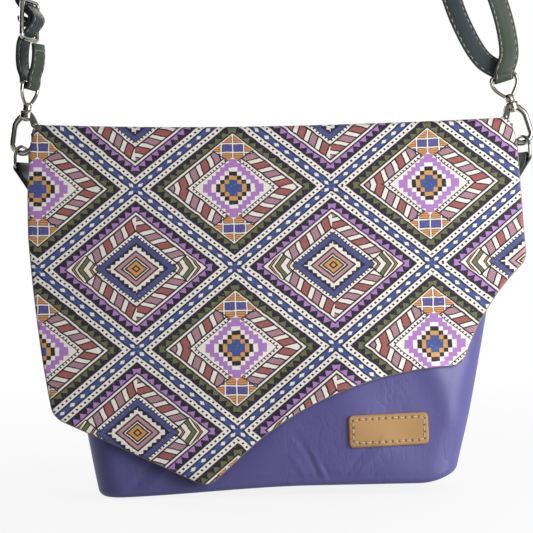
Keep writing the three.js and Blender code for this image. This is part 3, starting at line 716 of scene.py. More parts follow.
class Finishing(Graph):
    """A material in the making: a graph with a shader and an output."""

    def __init__(self, name: str) -> None:
        """Makes an empty material.

        Args:
            name: The material's name.
        """
        self.material = bpy.data.materials.new(name)
        self.material.use_nodes = True
        super().__init__(self.material.node_tree)
        self.shader = self.add("BsdfPrincipled")
        self.output = self.nodes.new("ShaderNodeOutputMaterial")
        self.put(self.output.inputs[0], self.shader)

    def dress(self, **sockets: object) -> Material:
        """Sets the shader's sockets by their names, with underscores for spaces, and gives the material."""
        for name, value in sockets.items():
            self.put(self.shader.socket.node.inputs[name.replace("_", " ")], value)
        return self.material

    def bump(self, height: Signal, depth_mm: float, strength: float) -> None:
        """Gives the shader a relief from a height signal."""
        self.dress(Normal=self.add("Bump", Strength=strength, Distance=depth_mm * MM, Height=height))


@dataclass(frozen=True)
class Leather:
    """A grained leather of one dye, cloudy in tone, with fine creases in patches."""

    name: str
    colour: Screen
    shade: Screen
    roughness: float
    specular: float
    cloud_mm: float = 70.0
    pore_mm: float = 2.4
    grain_mm: float = 1.1
    lump_mm: float = 9.0
    patch_mm: float = 38.0
    crease_mm: float = 7.5
    crease_run: float = 430.0
    relief_mm: float = 0.12

    def material(self) -> Material:
        """Builds the node material.

        Returns:
            A material whose tone drifts with wide noise and whose relief is pebbled grain over soft lumps,
            with creases where an upright noise passes its middle, inside patches where a wide noise is high.
        """
        graph = Finishing(self.name)
        point = graph.place()
        pore = graph.noise(point, self.pore_mm, 4.0)
        share = graph.noise(point, self.cloud_mm, 2.0) * 0.75 + pore * 0.35 - 0.05
        grain = graph.cells(point, self.grain_mm) * 0.55 + pore * 0.3
        lumps = graph.noise(point, self.lump_mm, 6.0) * 0.5
        patch = ((graph.noise(point, self.patch_mm, 1.0) - 0.47) * 8.0).held()
        upright = graph.place((1000.0, 1000.0, self.crease_run))
        crease = (abs(graph.noise(upright, self.crease_mm, 2.5) - 0.5) * 16.0).lower(1.0)
        graph.bump(grain + lumps + crease * patch * 1.5, self.relief_mm, 0.55)
        return graph.dress(
            Base_Color=graph.tone(share, self.shade, self.colour),
            Roughness=pore * 0.16 + (self.roughness - 0.08),
            Specular_IOR_Level=self.specular,
        )


@dataclass(frozen=True)
class Suede:
    """The napped flesh side of a leather, or its raw cut edge."""

    name: str
    colour: Screen
    shade: Screen
    fibre_mm: float = 0.9
    nap_mm: float = 22.0

    def material(self) -> Material:
        """Builds the node material.

        Returns:
            A matt material with short fibres in tone and relief.
        """
        graph = Finishing(self.name)
        point = graph.place()
        fibre = graph.noise(point, self.fibre_mm, 5.0)
        nap = graph.noise(point, self.nap_mm, 2.0)
        colour = graph.tone(fibre * 0.6 + nap * 0.4, self.shade, self.colour)
        graph.bump(fibre, 0.15, 0.5)
        return graph.dress(Base_Color=colour, Roughness=0.9, Specular_IOR_Level=0.15)


@dataclass(frozen=True)
class Thread:
    """A twisted sewing thread."""

    name: str
    colour: Screen
    shade: Screen
    twist_mm: float = 0.55

    def material(self) -> Material:
        """Builds the node material.

        Returns:
            A material with slanting plies drawn on the strand's own map.
        """
        graph = Finishing(self.name)
        along, turn = graph.surface()
        ply = ((along + turn * 0.5) * (1.0 / self.twist_mm)).wave()
        graph.bump(ply, 0.08, 0.6)
        colour = graph.tone(ply, self.shade, self.colour)
        return graph.dress(Base_Color=colour, Roughness=0.65, Specular_IOR_Level=0.3)


@dataclass(frozen=True)
class Plated:
    """A bright plated metal with hairline wear, its colour in linear light."""

    name: str
    colour: Triple
    roughness: float
    dulling: float = 0.82
    mark_mm: float = 6.0
    hair_scale: Triple = (3000.0, 3000.0, 260.0)

    def material(self) -> Material:
        """Builds the node material.

        Returns:
            A metal whose gloss is broken by stretched hairlines and faint cloudy handling marks.
        """
        graph = Finishing(self.name)
        hairs = graph.noise(graph.place(self.hair_scale), 1.0, 2.0)
        marks = graph.noise(graph.place(), self.mark_mm)
        rough = hairs * 0.1 + marks * 0.1 + (self.roughness - 0.1)
        colour = graph.mix(marks, tuple(self.dulling * c for c in self.colour), self.colour)
        graph.bump(hairs, 0.01, 0.15)
        return graph.dress(Base_Color=colour, Roughness=rough, Metallic=1.0)


@dataclass(frozen=True)
class TanLabel:
    """Vegetable-tanned leather with painted shade in its pricked holes, darker where it is burnished along
    its edge.
    """

    name: str
    colour: Screen
    shade: Screen
    # hole: the colour of painted shade that stands in for the depth of each pricked hole
    hole: Screen
    cloud_mm: float = 14.0
    pore_mm: float = 0.7

    def material(self) -> Material:
        """Builds the node material.

        Returns:
            The tan with fine pores, a burnished rim, and painted shade darkening the pricked holes, from the
            mesh's own numbers.
        """
        graph = Finishing(self.name)
        point = graph.place()
        cloud = graph.noise(point, self.cloud_mm)
        pore = graph.noise(point, self.pore_mm)
        colour = graph.tone(cloud * 0.8 + pore * 0.3 - 0.05, self.shade, self.colour)
        colour = graph.mix(graph.attribute("rim") * 0.55, colour, from_screen(self.shade))
        # Painted shade: each pricked hole is darkened to stand in for the shadow inside it.
        colour = graph.mix(graph.attribute("prick"), colour, from_screen(self.hole))
        graph.bump(pore, 0.06, 0.4)
        return graph.dress(Base_Color=colour, Roughness=pore * 0.12 + 0.5, Specular_IOR_Level=0.35)


@dataclass(frozen=True)
class StrapLeather:
    """Strap leather with painted edges."""

    name: str
    colour: Screen
    shade: Screen
    edge: Screen = (26, 34, 30)
    half_width_mm: float = 5.3
    pore_mm: float = 1.6
    cloud_mm: float = 26.0
    grain_mm: float = 0.8

    def material(self) -> Material:
        """Builds the node material.

        Returns:
            The leather on the strap's own map, whose V is the distance from the strap's middle.
        """
        graph = Finishing(self.name)
        along, side = graph.surface()
        point = graph.place()
        pore = graph.noise(point, self.pore_mm, 4.0)
        cloud = graph.noise(graph.vector(along, side), self.cloud_mm, 2.0)
        colour = graph.tone(cloud * 0.7 + pore * 0.4 - 0.05, self.shade, self.colour)
        colour = graph.mix(abs(side) > self.half_width_mm, colour, from_screen(self.edge))
        graph.bump(graph.cells(point, self.grain_mm) * 0.5 + pore * 0.5, 0.1, 0.5)
        return graph.dress(Base_Color=colour, Roughness=pore * 0.15 + 0.42, Specular_IOR_Level=0.4)


class Dye(Enum):
    """The colours of the printed leather."""

    CREAM = from_screen((232, 227, 217))
    INK = from_screen((40, 34, 48))
    SLATE = from_screen((84, 76, 106))
    LILAC = from_screen((170, 122, 190))
    BLUE = from_screen((64, 82, 142))
    OLIVE = from_screen((104, 108, 68))
    OCHRE = from_screen((200, 150, 80))
    BRICK = from_screen((168, 92, 78))
    ROSE = from_screen((180, 136, 142))
    PURPLE = from_screen((98, 80, 152))


@dataclass(frozen=True)
class PrintedLeather:
    """Leather printed all over with a lattice of banded diamonds of two kinds, sizes in millimetres."""

    name: str
    across: float = 118.0
    down: float = 98.0
    shift: Pair = (24.0, 61.0)
    waver: float = 1.2
    line: float = 0.45
    stripe: float = 1.9
    lozenge_pitch: float = 7.7
    square_pitch: float = 3.1
    square_at: float = 3.9
    teeth: Pair = (5.9, 10.6)
    tooth_pitch: float = 5.1
    corners_from: float = 11.6
    rungs: Pair = (12.6, 19.8)
    rung_pitch: float = 8.6
    rung_half: float = 2.5
    hatch_pitch: float = 1.3
    comb: Pair = (21.0, 22.6)
    comb_pitch: float = 2.3
    arrow_pitch: float = 10.5
    arrow_from: float = 21.0
    arrow_layers: tuple[tuple[float, Dye], ...] = ((3.4, Dye.CREAM), (5.6, Dye.OCHRE), (7.0, Dye.CREAM))
    block: Pair = (6.8, 5.6)
    block_from: float = 15.0
    block_edges: tuple[tuple[float, Dye], ...] = ((2.7, Dye.INK), (3.0, Dye.CREAM))
    heart_hatch: float = 1.6
    heart_tooth: float = 3.4
    heart_frames: tuple[tuple[float, Dye], ...] = ((29.4, Dye.ROSE), (32.2, Dye.CREAM), (33.6, Dye.OCHRE))
    heart_lines: tuple[float, ...] = (25.8, 29.4, 32.2, 33.6, 36.2)
    step: float = 2.6
    lozenges: tuple[tuple[float, Dye], ...] = (
        (18.0, Dye.INK),
        (16.6, Dye.LILAC),
        (12.8, Dye.INK),
        (11.6, Dye.CREAM),
        (8.0, Dye.INK),
        (7.4, Dye.OCHRE),
        (2.7, Dye.BLUE),
    )

    def material(self) -> Material:
        """Builds the node material.

        Returns:
            The print, worn in specks over a smooth grain.
        """
        graph = Print(self)
        for motif in (graph.border, graph.ladder, graph.arrows, graph.blocks, graph.heart, graph.medallion):
            motif()
        wear = graph.noise(graph.sheet, 1.3, 4.0)
        graph.paint((wear > 0.64) * 0.18, Dye.CREAM)
        graph.bump(graph.cells(graph.sheet, 0.9) * 0.5 + wear * 0.5, 0.08, 0.4)
        return graph.dress(Base_Color=graph.colour, Roughness=wear * 0.14 + 0.46, Specular_IOR_Level=0.3)


class Print(Finishing):
    """The printed material in the making, whose colour grows as its motifs are drawn.

    Slanting coordinates number the diamonds. The band is the distance from the nearest lattice line, and the
    run the distance along it. Wide and tall are the distances from the diamond's middle, and odd is 1 in the
    second kind of diamond.
    """

    def __init__(self, sizes: PrintedLeather) -> None:
        """Measures the lattice on the sheet's own map, its lines wavering a little.

        Args:
            sizes: The print's sizes.
        """
        super().__init__(sizes.name)
        self.sizes, self.colour = sizes, Dye.CREAM
        u, v = self.surface()
        self.sheet = self.vector(u, v)
        waver = self.noise(self.sheet, 6.0, 2.0) * sizes.waver
        right = (u + waver + (sizes.shift[0] - sizes.waver / 2.0)) * (1 / sizes.across)
        up = (v - waver + (sizes.shift[1] + sizes.waver / 2.0)) * (1 / sizes.down)
        diagonal = math.hypot(sizes.across, sizes.down)
        p, q = right + up, right - up
        self.odd = ((p.floor() + q.floor()) * 0.5).part() > 0.25
        a, b = p.part(), q.part()
        near_a, near_b = a.lower(1.0 - a), b.lower(1.0 - b)
        self.band = near_a.lower(near_b) * (sizes.across * sizes.down / diagonal)
        swap = near_a < near_b
        self.run = (b * swap + a * (1.0 - swap)) * (diagonal / 2.0)
        self.wide, self.tall = abs(a + b - 1.0) * (sizes.across / 2.0), abs(a - b) * (sizes.down / 2.0)

    def put(self, socket: Socket, value: object) -> None:
        """Puts a value or a dye's colour on a socket."""
        super().put(socket, value.value if isinstance(value, Dye) else value)

    def paint(self, where: Number, colour: object) -> None:
        """Lays a colour over the print where a signal is 1."""
        self.colour = self.mix(where, self.colour, colour)

    def lined(self, colour: object, value: Signal, places: Sequence[float]) -> object:
        """The colour with ink lines wherever a value passes one of some numbers."""
        for place in places:
            colour = self.mix(abs(value - place) < self.sizes.line, colour, Dye.INK)
        return colour

    def layered(self, colour: object, value: Signal, steps: Sequence[tuple[float, Dye]]) -> object:
        """The colour, changed to a new dye each time that a value passes a step."""
        for step, dye in steps:
            colour = self.mix(value > step, colour, dye)
        return colour

    def border(self) -> None:
        """Draws the lattice's own bands: a stripe with lozenges, a row of squares and a row of sawteeth."""
        sizes, band, run = self.sizes, self.band, self.run
        lozenge = abs((run * (1 / sizes.lozenge_pitch)).part() - 0.5) * 5.0 + abs(band) < 1.25
        self.paint(band < sizes.stripe, self.mix(lozenge, Dye.BLUE, Dye.CREAM))
        square = abs((run * (1 / sizes.square_pitch)).part() - 0.5) < 0.2
        self.paint(square * (abs(band - sizes.square_at) < 0.6), Dye.INK)
        tooth = (run * (1 / sizes.tooth_pitch)).wave() * 3.4 + 6.8 - band
        teeth = self.mix(tooth > 0.0, self.mix(self.odd, Dye.LILAC, Dye.OLIVE), Dye.INK)
        self.paint(band.between(*sizes.teeth), teeth)
        self.colour = self.lined(self.colour, band, (sizes.stripe, *sizes.teeth))

    def ladder(self) -> None:
        """Draws slanting hatched bars in two dyes by turns, with a comb of short ticks beside them."""
        sizes, band, run = self.sizes, self.band, self.run
        lean = (run + band * 0.55) * (1 / sizes.rung_pitch)
        dye = self.mix((lean * 0.5).part() > 0.5, Dye.ROSE, Dye.BRICK)
        dye = self.mix(((band * (1 / sizes.hatch_pitch)).wave() > 0.62) * 0.55, dye, Dye.SLATE)
        rung, inside = abs(lean.part() - 0.5) * sizes.rung_pitch, band.between(*sizes.rungs)
        self.paint((rung < sizes.rung_half) * inside, dye)
        self.paint((abs(rung - sizes.rung_half) < sizes.line) * inside, Dye.INK)
        ticks = (run * (1 / sizes.comb_pitch)).part() < 0.4
        self.paint(ticks * band.between(*sizes.comb), Dye.INK)
        self.colour = self.lined(self.colour, band, (*sizes.rungs, sizes.comb[1]))

    def arrows(self) -> None:
        """Draws nested arrowheads in the left and right corners of the first kind of diamond."""
        sizes, where = self.sizes, (self.band > self.sizes.corners_from) * (1.0 - self.odd)
        head = self.wide - self.tall * 1.15
        phase = ((self.wide + self.tall * 0.75) * (1 / sizes.arrow_pitch)).part() * sizes.arrow_pitch
        dyes = self.layered(Dye.OLIVE, phase, sizes.arrow_layers)
        dyes = self.lined(dyes, phase, (0.3, *(step for step, _ in sizes.arrow_layers)))
        self.paint(where * (head > sizes.arrow_from), dyes)
        self.paint(where * (abs(head - sizes.arrow_from) < sizes.line * 1.4), Dye.INK)

    def blocks(self) -> None:
        """Draws woven blocks in the upper and lower corners of the second kind of diamond."""
        sizes, where = self.sizes, (self.band > self.sizes.corners_from) * self.odd
        width, height = sizes.block
        column, row = self.wide * (1 / width), self.tall * (1 / height)
        second = ((column.floor() + row.floor()) * 0.5).part() > 0.25
        cool = self.mix((column * 4.0).wave() > 0.55, Dye.PURPLE, Dye.BLUE)
        warm = self.mix((row * 4.0).wave() > 0.6, Dye.OCHRE, Dye.BRICK)
        edge = (abs(column.part() - 0.5) * width).higher(abs(row.part() - 0.5) * height + 0.6)
        reach = self.tall - self.wide * 0.7
        dyes = self.layered(self.mix(second, cool, warm), edge, sizes.block_edges)
        self.paint(where * (reach > sizes.block_from), dyes)
        self.paint(where * (abs(reach - sizes.block_from) < sizes.line), Dye.INK)

    def heart(self) -> None:
        """Draws nested frames, hatched, toothed and plain, in the middle of the first kind of diamond."""
        sizes, band, run = self.sizes, self.band, self.run
        inside = band > sizes.heart_lines[0]
        hatch = self.mix((run * (1 / sizes.heart_hatch)).wave() > 0.6, Dye.BLUE, Dye.SLATE)
        tooth = (run * (1 / sizes.heart_tooth)).wave() * 1.5 + 26.2 - band
        dyes = self.mix((tooth > 0.0) * inside, self.mix(inside, hatch, Dye.CREAM), Dye.INK)
        dyes = self.lined(self.layered(dyes, band, sizes.heart_frames), band, sizes.heart_lines)
        self.paint((band > sizes.comb[1]) * (1.0 - self.odd), dyes)

    def medallion(self) -> None:
        """Draws nested stepped lozenges in the middle of the second kind of diamond."""
        step, dyes = self.sizes.step, Dye.CREAM
        reach = (self.wide * (1 / step)).floor() * step + (self.tall * (1 / step)).floor() * step
        for size, dye in self.sizes.lozenges:
            dyes = self.mix(reach < size, dyes, dye)
        self.paint((self.band > self.sizes.comb[1]) * self.odd, dyes)


class Finish(Enum):
    """Every finish of the bag."""

    BODY = Leather("indigo_leather", (93, 89, 145), (70, 66, 122), roughness=0.47, specular=0.45)
    BODY_INSIDE = Suede("indigo_flesh_side", (112, 104, 150), (88, 80, 124))
    PRINTED = PrintedLeather("printed_leather")
    PRINTED_BACK = Suede("natural_flesh_side", (204, 192, 176), (176, 162, 146))
    PRINTED_EDGE = Suede("natural_cut_edge", (150, 136, 128), (96, 84, 88))
    LABEL = TanLabel("tan_label", (182, 146, 98), (156, 118, 73), (62, 36, 20))
    LABEL_THREAD = Thread("ecru_thread", (214, 190, 158), (168, 138, 102))
    STRAP = StrapLeather("green_leather", (53, 66, 51), (35, 46, 37))
    STRAP_INSIDE = StrapLeather("green_leather_inside", (45, 56, 61), (31, 40, 46))
    STRAP_THREAD = Thread("beige_thread", (184, 178, 152), (134, 126, 102))
    FLAP_THREAD = Thread("grey_thread", (150, 140, 150), (104, 94, 108))
    NICKEL = Plated("nickel", (0.37, 0.352, 0.325), 0.14)

    @cached_property
    def made(self) -> Material:
        """The finish's material, made when it is first asked for."""
        return self.value.material()


# Forms


def turn_about(axis: int, degrees: float) -> Array:
    """Works out the matrix of a turn.

    Args:
        axis: 0 for X, 1 for Y or 2 for Z.
        degrees: The angle, positive by the right-hand rule.

    Returns:
        The matrix, with cosines and sines in the rows and columns of the other two axes.
    """
    angle = math.radians(degrees)
    first, second = (axis + 1) % 3, (axis + 2) % 3
    matrix = np.eye(3)
    matrix[first, first] = matrix[second, second] = math.cos(angle)
    matrix[first, second], matrix[second, first] = -math.sin(angle), math.sin(angle)
    return matrix


def placing(turn: Array, at: Sequence[float], side: Side = Side.RIGHT) -> Placing:
    """A function that turns points, moves them, and mirrors them on the left side."""
    flip = np.array([side.sign, 1.0, 1.0])
    return lambda points: (points @ turn.T + np.array(at)) * flip


@dataclass(frozen=True)
class Fold:
    """A soft ridge or crease in a panel, along a line from one point to another in X and height."""

    start: Pair
    stop: Pair
    width: float
    rise: float
    bow: float = 0.0

    def height(self, x: Array, z: Array) -> Array:
        """Works out the fold's rise over the panel.

        Args:
            x: Places across the bag.
            z: Heights.

        Returns:
            A bell across the bowed line that fades towards both ends.
        """
        (x0, z0), (x1, z1) = self.start, self.stop
        run_x, run_z = x1 - x0, z1 - z0
        length = math.hypot(run_x, run_z)
        along = ((x - x0) * run_x + (z - z0) * run_z) / length**2
        aside = ((x - x0) * run_z - (z - z0) * run_x) / length
        ends = np.clip(along * (1.0 - along) * 4.0, 0.0, 1.0)
        return self.rise * ends * bell((aside - self.bow * ends) / self.width)


@dataclass(frozen=True)
class PouchForm:
    """The pouch's sizes and the formulas that the pieces lying on it share."""

    height: float = 216.0
    base_half_width: float = 106.0
    mouth_half_width: float = 145.5
    base_half_depth: float = 35.0
    mouth_half_depth: float = 8.0
    flare_power: float = 1.3
    leather: float = 1.8
    seat: float = 0.3
    upright_radius: float = 16.0
    base_radius: float = 4.0
    mouth_sag: float = 2.4
    left_mouth_rise: float = 1.6
    belly: float = 2.4
    belly_reach: float = 78.0
    belly_top: float = 104.0
    right_belly: float = 6.0
    right_belly_at: float = 52.0
    right_belly_reach: float = 50.0
    ripple: float = 0.7
    ripple_lengths: Pair = (31.0, 27.0)
    ripple_shift: float = 0.8
    under_flap: float = 128.0
    under_flap_run: float = 60.0
    low_run: float = 9.0
    corner_top: float = 46.0
    right_corner_rise: float = 5.6
    right_corner_from: float = 80.0
    right_corner_run: float = 30.0
    left_corner_drop: float = 5.0
    left_corner_from: float = 20.0
    left_corner_run: float = 126.0
    snap_place: Pair = (-42.0, 32.0)
    snap_radius: float = 9.0
    snap_run: float = 14.0
    folds: tuple[Fold, ...] = (
        Fold((-110.0, 10.0), (-40.0, 70.0), 8.0, 1.6),
        Fold((-96.0, -4.0), (-58.0, 40.0), 2.6, -0.7, 2.0),
        Fold((-88.0, -6.0), (-54.0, 32.0), 1.9, 0.5, 2.0),
        Fold((-24.0, 2.0), (14.0, 62.0), 10.0, 1.0, 4.0),
        Fold((25.0, -6.0), (8.0, 34.0), 1.5, -0.75, 3.0),
        Fold((29.0, -6.0), (14.0, 26.0), 1.3, 0.6, 3.0),
        Fold((33.0, -5.0), (21.0, 17.0), 1.2, -0.5, 2.0),
        Fold((18.0, -4.0), (4.0, 22.0), 1.3, 0.4, 2.0),
        Fold((38.0, 4.0), (62.0, 30.0), 1.4, -0.5, -2.0),
        Fold((43.0, 1.0), (66.0, 24.0), 1.3, 0.42, -2.0),
        Fold((50.0, -1.0), (70.0, 17.0), 1.2, -0.35, -1.5),
        Fold((98.0, 2.0), (46.0, 70.0), 13.0, -1.6),
        Fold((112.0, 16.0), (84.0, 96.0), 9.0, 2.0),
        Fold((54.0, 80.0), (118.0, 58.0), 10.0, 1.4),
        Fold((92.0, -2.0), (104.0, 34.0), 4.0, -0.9),
    )

    def half_width(self, z: Array) -> Array:
        """The half width at a height: from the base to the mouth by a power of the height that is left."""
        left = np.maximum(1.0 - z / self.height, 0.0)
        return self.mouth_half_width - (self.mouth_half_width - self.base_half_width) * left**self.flare_power

    def half_depth(self, z: Array) -> Array:
        """The half depth at a height, straight from the base to the mouth."""
        return self.base_half_depth + (self.mouth_half_depth - self.base_half_depth) * z / self.height

    def swell(self, x: Array, z: Array) -> Array:
        """Works out how far the soft front stands out of its plane.

        Args:
            x: Places across the bag.
            z: Heights.

        Returns:
            A wide belly, slow ripples and the folds, faded out high up, at the base and round the snap.
        """
        belly = self.belly * np.cos(x / self.belly_reach)
        belly = belly + self.right_belly * bell((x - self.right_belly_at) / self.right_belly_reach)
        raised = belly * np.sin(np.clip(z / self.belly_top, 0.0, 1.0) * math.pi)
        across, up = self.ripple_lengths
        raised = raised + self.ripple * np.sin(x / across + self.ripple_shift) * np.sin(z / up)
        raised = raised + sum(fold.height(x, z) for fold in self.folds)
        from_snap = np.hypot(x - self.snap_place[0], z - self.snap_place[1])
        raised = raised * smooth((self.under_flap - z) / self.under_flap_run)
        return raised * smooth((from_snap - self.snap_radius) / self.snap_run) * smooth(z / self.low_run)

    def settle(self, x: Array, z: Array) -> Array:
        """Works out how far a point sinks or rises as the soft pouch hangs.

        Args:
            x: Places across the bag.
            z: Heights.

        Returns:
            The sag of the mouth, by the fourth power of the height, and the slump of the two lower corners.
        """
        out = x / self.mouth_half_width
        mouth = self.left_mouth_rise * np.clip(-out, 0.0, 1.0) ** 2 - self.mouth_sag * (1.0 - out**2)
        mouth = mouth * np.clip(z / self.height, 0.0, 1.0) ** 4
        right = self.right_corner_rise * smooth((x - self.right_corner_from) / self.right_corner_run) ** 1.5
        left = self.left_corner_drop * smooth((self.left_corner_from - x) / self.left_corner_run)
        return mouth + (1.0 - smooth(z / self.corner_top)) * (right - left)

    def front(self, x: Array, z: Array, stand_off: float | Array) -> Array:
        """Points on the front panel, a stand-off away from it along its slope."""
        slope = math.atan2(self.base_half_depth - self.mouth_half_depth, self.height)
        y = -(self.half_depth(z) + self.swell(x, z)) - stand_off * math.cos(slope)
        return points_of(x, y, z + stand_off * math.sin(slope) + self.settle(x, z))


@dataclass(frozen=True)
class Gear:
    """Where the strap's fittings hang, for the right side where not given for both."""

    ring_place: Triple = (154.7255, 12.5625, 195.0)
    tab_yaw_deg: float = 30.0
    tab_axis_x: float = 132.9666
    ring_rise: float = 12.8
    bow_depth: float = 2.3
    right_lean_deg: float = 16.5
    left_lean_deg: float = 8.5
    left_eye_yaw_deg: float = -62.0
    eye_bar_z: float = 41.5
    slider_from_eye: Triple = (0.4, 0.4, 39.4)
    slider_lean_deg: float = 4.0

    def lean(self, side: Side) -> float:
        """How far a hook leans inwards, in degrees."""
        return self.left_lean_deg if side is Side.LEFT else self.right_lean_deg

    def hook_at(self, side: Side) -> Array:
        """The place of a hook's bend, before mirroring: below the ring's bow along the hook's lean."""
        lean = math.radians(self.lean(side))
        drop = self.bow_depth * np.array([math.sin(lean), 0.0, -math.cos(lean)])
        return np.array(self.ring_place) + np.array([0.0, 0.0, self.ring_rise]) + drop

    def hook_placing(self, side: Side) -> Placing:
        """The placing of a hook."""
        return placing(turn_about(1, -self.lean(side)), self.hook_at(side), side)

    def eye_placing(self, side: Side) -> Placing:
        """The placing of a swivel eye, turned in its hook."""
        yaw = self.left_eye_yaw_deg if side is Side.LEFT else 0.0
        return placing(turn_about(1, -self.lean(side)) @ turn_about(2, yaw), self.hook_at(side), side)

    def bar(self, side: Side) -> Array:
        """The middle of a swivel eye's bar."""
        return self.hook_placing(side)(np.array([[0.0, 0.0, self.eye_bar_z]]))[0]

    def slider_turn(self) -> Array:
        """The slider's turn: a lean, then the left eye's yaw."""
        return turn_about(2, -self.left_eye_yaw_deg) @ turn_about(1, self.slider_lean_deg)

    def slider_at(self) -> Array:
        """The middle of the slider."""
        return self.bar(Side.LEFT) + np.array(self.slider_from_eye)


def fitted(pieces: list[Piece], body: str, slot: str, *nodes: str) -> list[Piece]:
    """Lets pieces ride a body.

    Args:
        pieces: The pieces.
        body: The CAD body.
        slot: Their material slot, not used.
        nodes: The CAD nodes that the first piece stands for, if any.

    Returns:
        The same pieces.
    """
    for piece in pieces:
        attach(piece, body)
    if nodes:
        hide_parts(*nodes)
    return pieces


@dataclass
class Assembly:
    """What every sub-assembly of the bag is built from."""

    form: PouchForm
    gear: Gear


@dataclass
class SidedAssembly(Assembly):
    """A sub-assembly that the bag has on both sides."""

    side: Side


# Bag


@dataclass
class Pouch(Assembly):
    """The pouch: front and back panels and the base as one lofted leather shell with a seam up each side."""

    face_steps: int = 150
    corner_steps: int = 12
    edge_steps: int = 8
    wall_rows: int = 124
    wall_power: float = 1.25
    inside_rows: int = 40
    lip_rise: float = 0.5
    seam_depth: float = 0.8
    seam_share: float = 0.06
    seam_most: float = 0.4
    corner_share: float = 0.92
    side_shares: tuple[float, ...] = (-0.72, -0.4, -0.2, -0.09, -0.03, 0.03, 0.09, 0.2, 0.4, 0.72)
    base_shares: tuple[float, ...] = (0.04, 0.25, 0.5, 0.7, 0.85, 0.95)
    back_swell: float = 0.6
    flat_from: float = 0.55
    flat_run: float = 0.4
    left_spread: float = 1.5
    spread_from: float = 60.0
    spread_run: float = 40.0
    spread_top: float = 120.0

    def ring(self, z: Array, inset: Array, margin: float) -> Array:
        """Draws level rings of the pouch.

        Args:
            z: The height of each ring.
            inset: How far each ring is drawn in by the rounded base edge.
            margin: How far all are drawn in by the leather's thickness.

        Returns:
            Rounded rectangles as rows, from the right side's middle round the back, the left side and the
            front, with the outer face's seams pressed in. The second half is the first turned half round.
        """
        across = (self.form.half_width(z) - margin - inset)[:, None]
        deep = (self.form.half_depth(z) - margin - inset)[:, None]
        wanted = np.maximum(self.form.upright_radius - margin - inset, 1.0)[:, None]
        corner = np.minimum(deep * self.corner_share, wanted)
        core_x, core_y = across - corner, deep - corner
        turn = np.linspace(0.0, math.pi / 2.0, self.corner_steps + 1)
        bend_x, bend_y = corner * np.cos(turn), corner * np.sin(turn)
        shares = np.array(self.side_shares)
        seam = self.seam_depth if margin == 0.0 else 0.0
        press = bell(shares / self.seam_share) * np.minimum(seam, self.seam_most * core_y)
        flat = np.linspace(-1.0, 1.0, self.face_steps + 2)[1:-1] * core_x
        x = np.hstack([across - press, core_x + bend_x, -flat, -core_x - bend_x[:, ::-1]])
        back = np.broadcast_to(deep, flat.shape)
        y = np.hstack([shares * core_y, core_y + bend_y, back, core_y + bend_y[:, ::-1]])
        x, y = np.hstack([x, -x]), np.hstack([y, -y])
        return points_of(x, y, z[:, None])

    def shell_rows(self, margin: float, floor_z: float, count: int) -> Array:
        """Draws one face of the wall.

        Args:
            margin: How far the face lies inside the pouch's own outline.
            floor_z: The height of the face's base.
            count: How many rows the upright wall has.

        Returns:
            Rows from the base's middle out over its rounded edge and up to the mouth, closer low down.
        """
        edge = self.form.base_radius - margin
        turn = np.linspace(0.0, math.pi / 2.0, self.edge_steps + 1)
        low = self.ring(floor_z + edge * (1.0 - np.cos(turn)), edge * (1.0 - np.sin(turn)), margin)
        shares = np.array(self.base_shares)[:, None, None]
        base = low[:1] * np.concatenate([shares, shares, np.ones_like(shares)], axis=-1)
        low_wall = floor_z + edge
        rise = np.linspace(0.0, 1.0, count + 1)[1:] ** self.wall_power
        wall_z = low_wall + (self.form.height - low_wall) * rise
        return chain(base, low, self.ring(wall_z, np.zeros_like(wall_z), margin))

    def softened(self, rows: Array) -> Array:
        """Lets the pouch swell and settle.

        Args:
            rows: Points of the stiff pouch.

        Returns:
            The points with the swell added where a face is flat, the lower left spread out, and all settled.
        """
        x, y, z = np.moveaxis(rows, -1, 0)
        depth = np.maximum(self.form.half_depth(z), 1.0)
        flatness = smooth((np.abs(y) / depth - self.flat_from) / self.flat_run)
        back = self.form.swell(-x, z) * self.back_swell
        swell = np.where(y < 0.0, self.form.swell(x, z), back) * flatness
        spread = self.left_spread * smooth((-x - self.spread_from) / self.spread_run)
        spread = spread * (1.0 - smooth(z / self.spread_top))
        return points_of(x - spread, y + np.sign(y) * swell, z + self.form.settle(x, z))

    def build(self) -> list[Piece]:
        """Builds the shell.

        Returns:
            The shell, which stands for both panels.
        """
        leather = self.form.leather
        outer = self.shell_rows(0.0, 0.0, self.wall_rows)
        inner = self.shell_rows(leather, leather, self.inside_rows)[::-1]
        lip = self.ring(np.array([self.form.height]), np.zeros(1), leather / 2.0)
        rows = self.softened(chain(outer, lip + np.array([0.0, 0.0, self.lip_rise]), inner))
        columns = rows.shape[1]
        skin = Skin.tube(rows, map_of(np.arange(float(len(rows))), np.arange(columns + 1.0)))
        skin.quad_kind = (np.repeat(np.arange(len(rows) - 1), columns) > len(outer)).astype(int)
        skin.tri_kind[columns:] = 1
        made = skin.piece("pouch_shell", Finish.BODY.made, Finish.BODY_INSIDE.made, crease_deg=60.0)
        return fitted([made], Body.BAG.value, "body_leather", "front_panel", "back_panel")


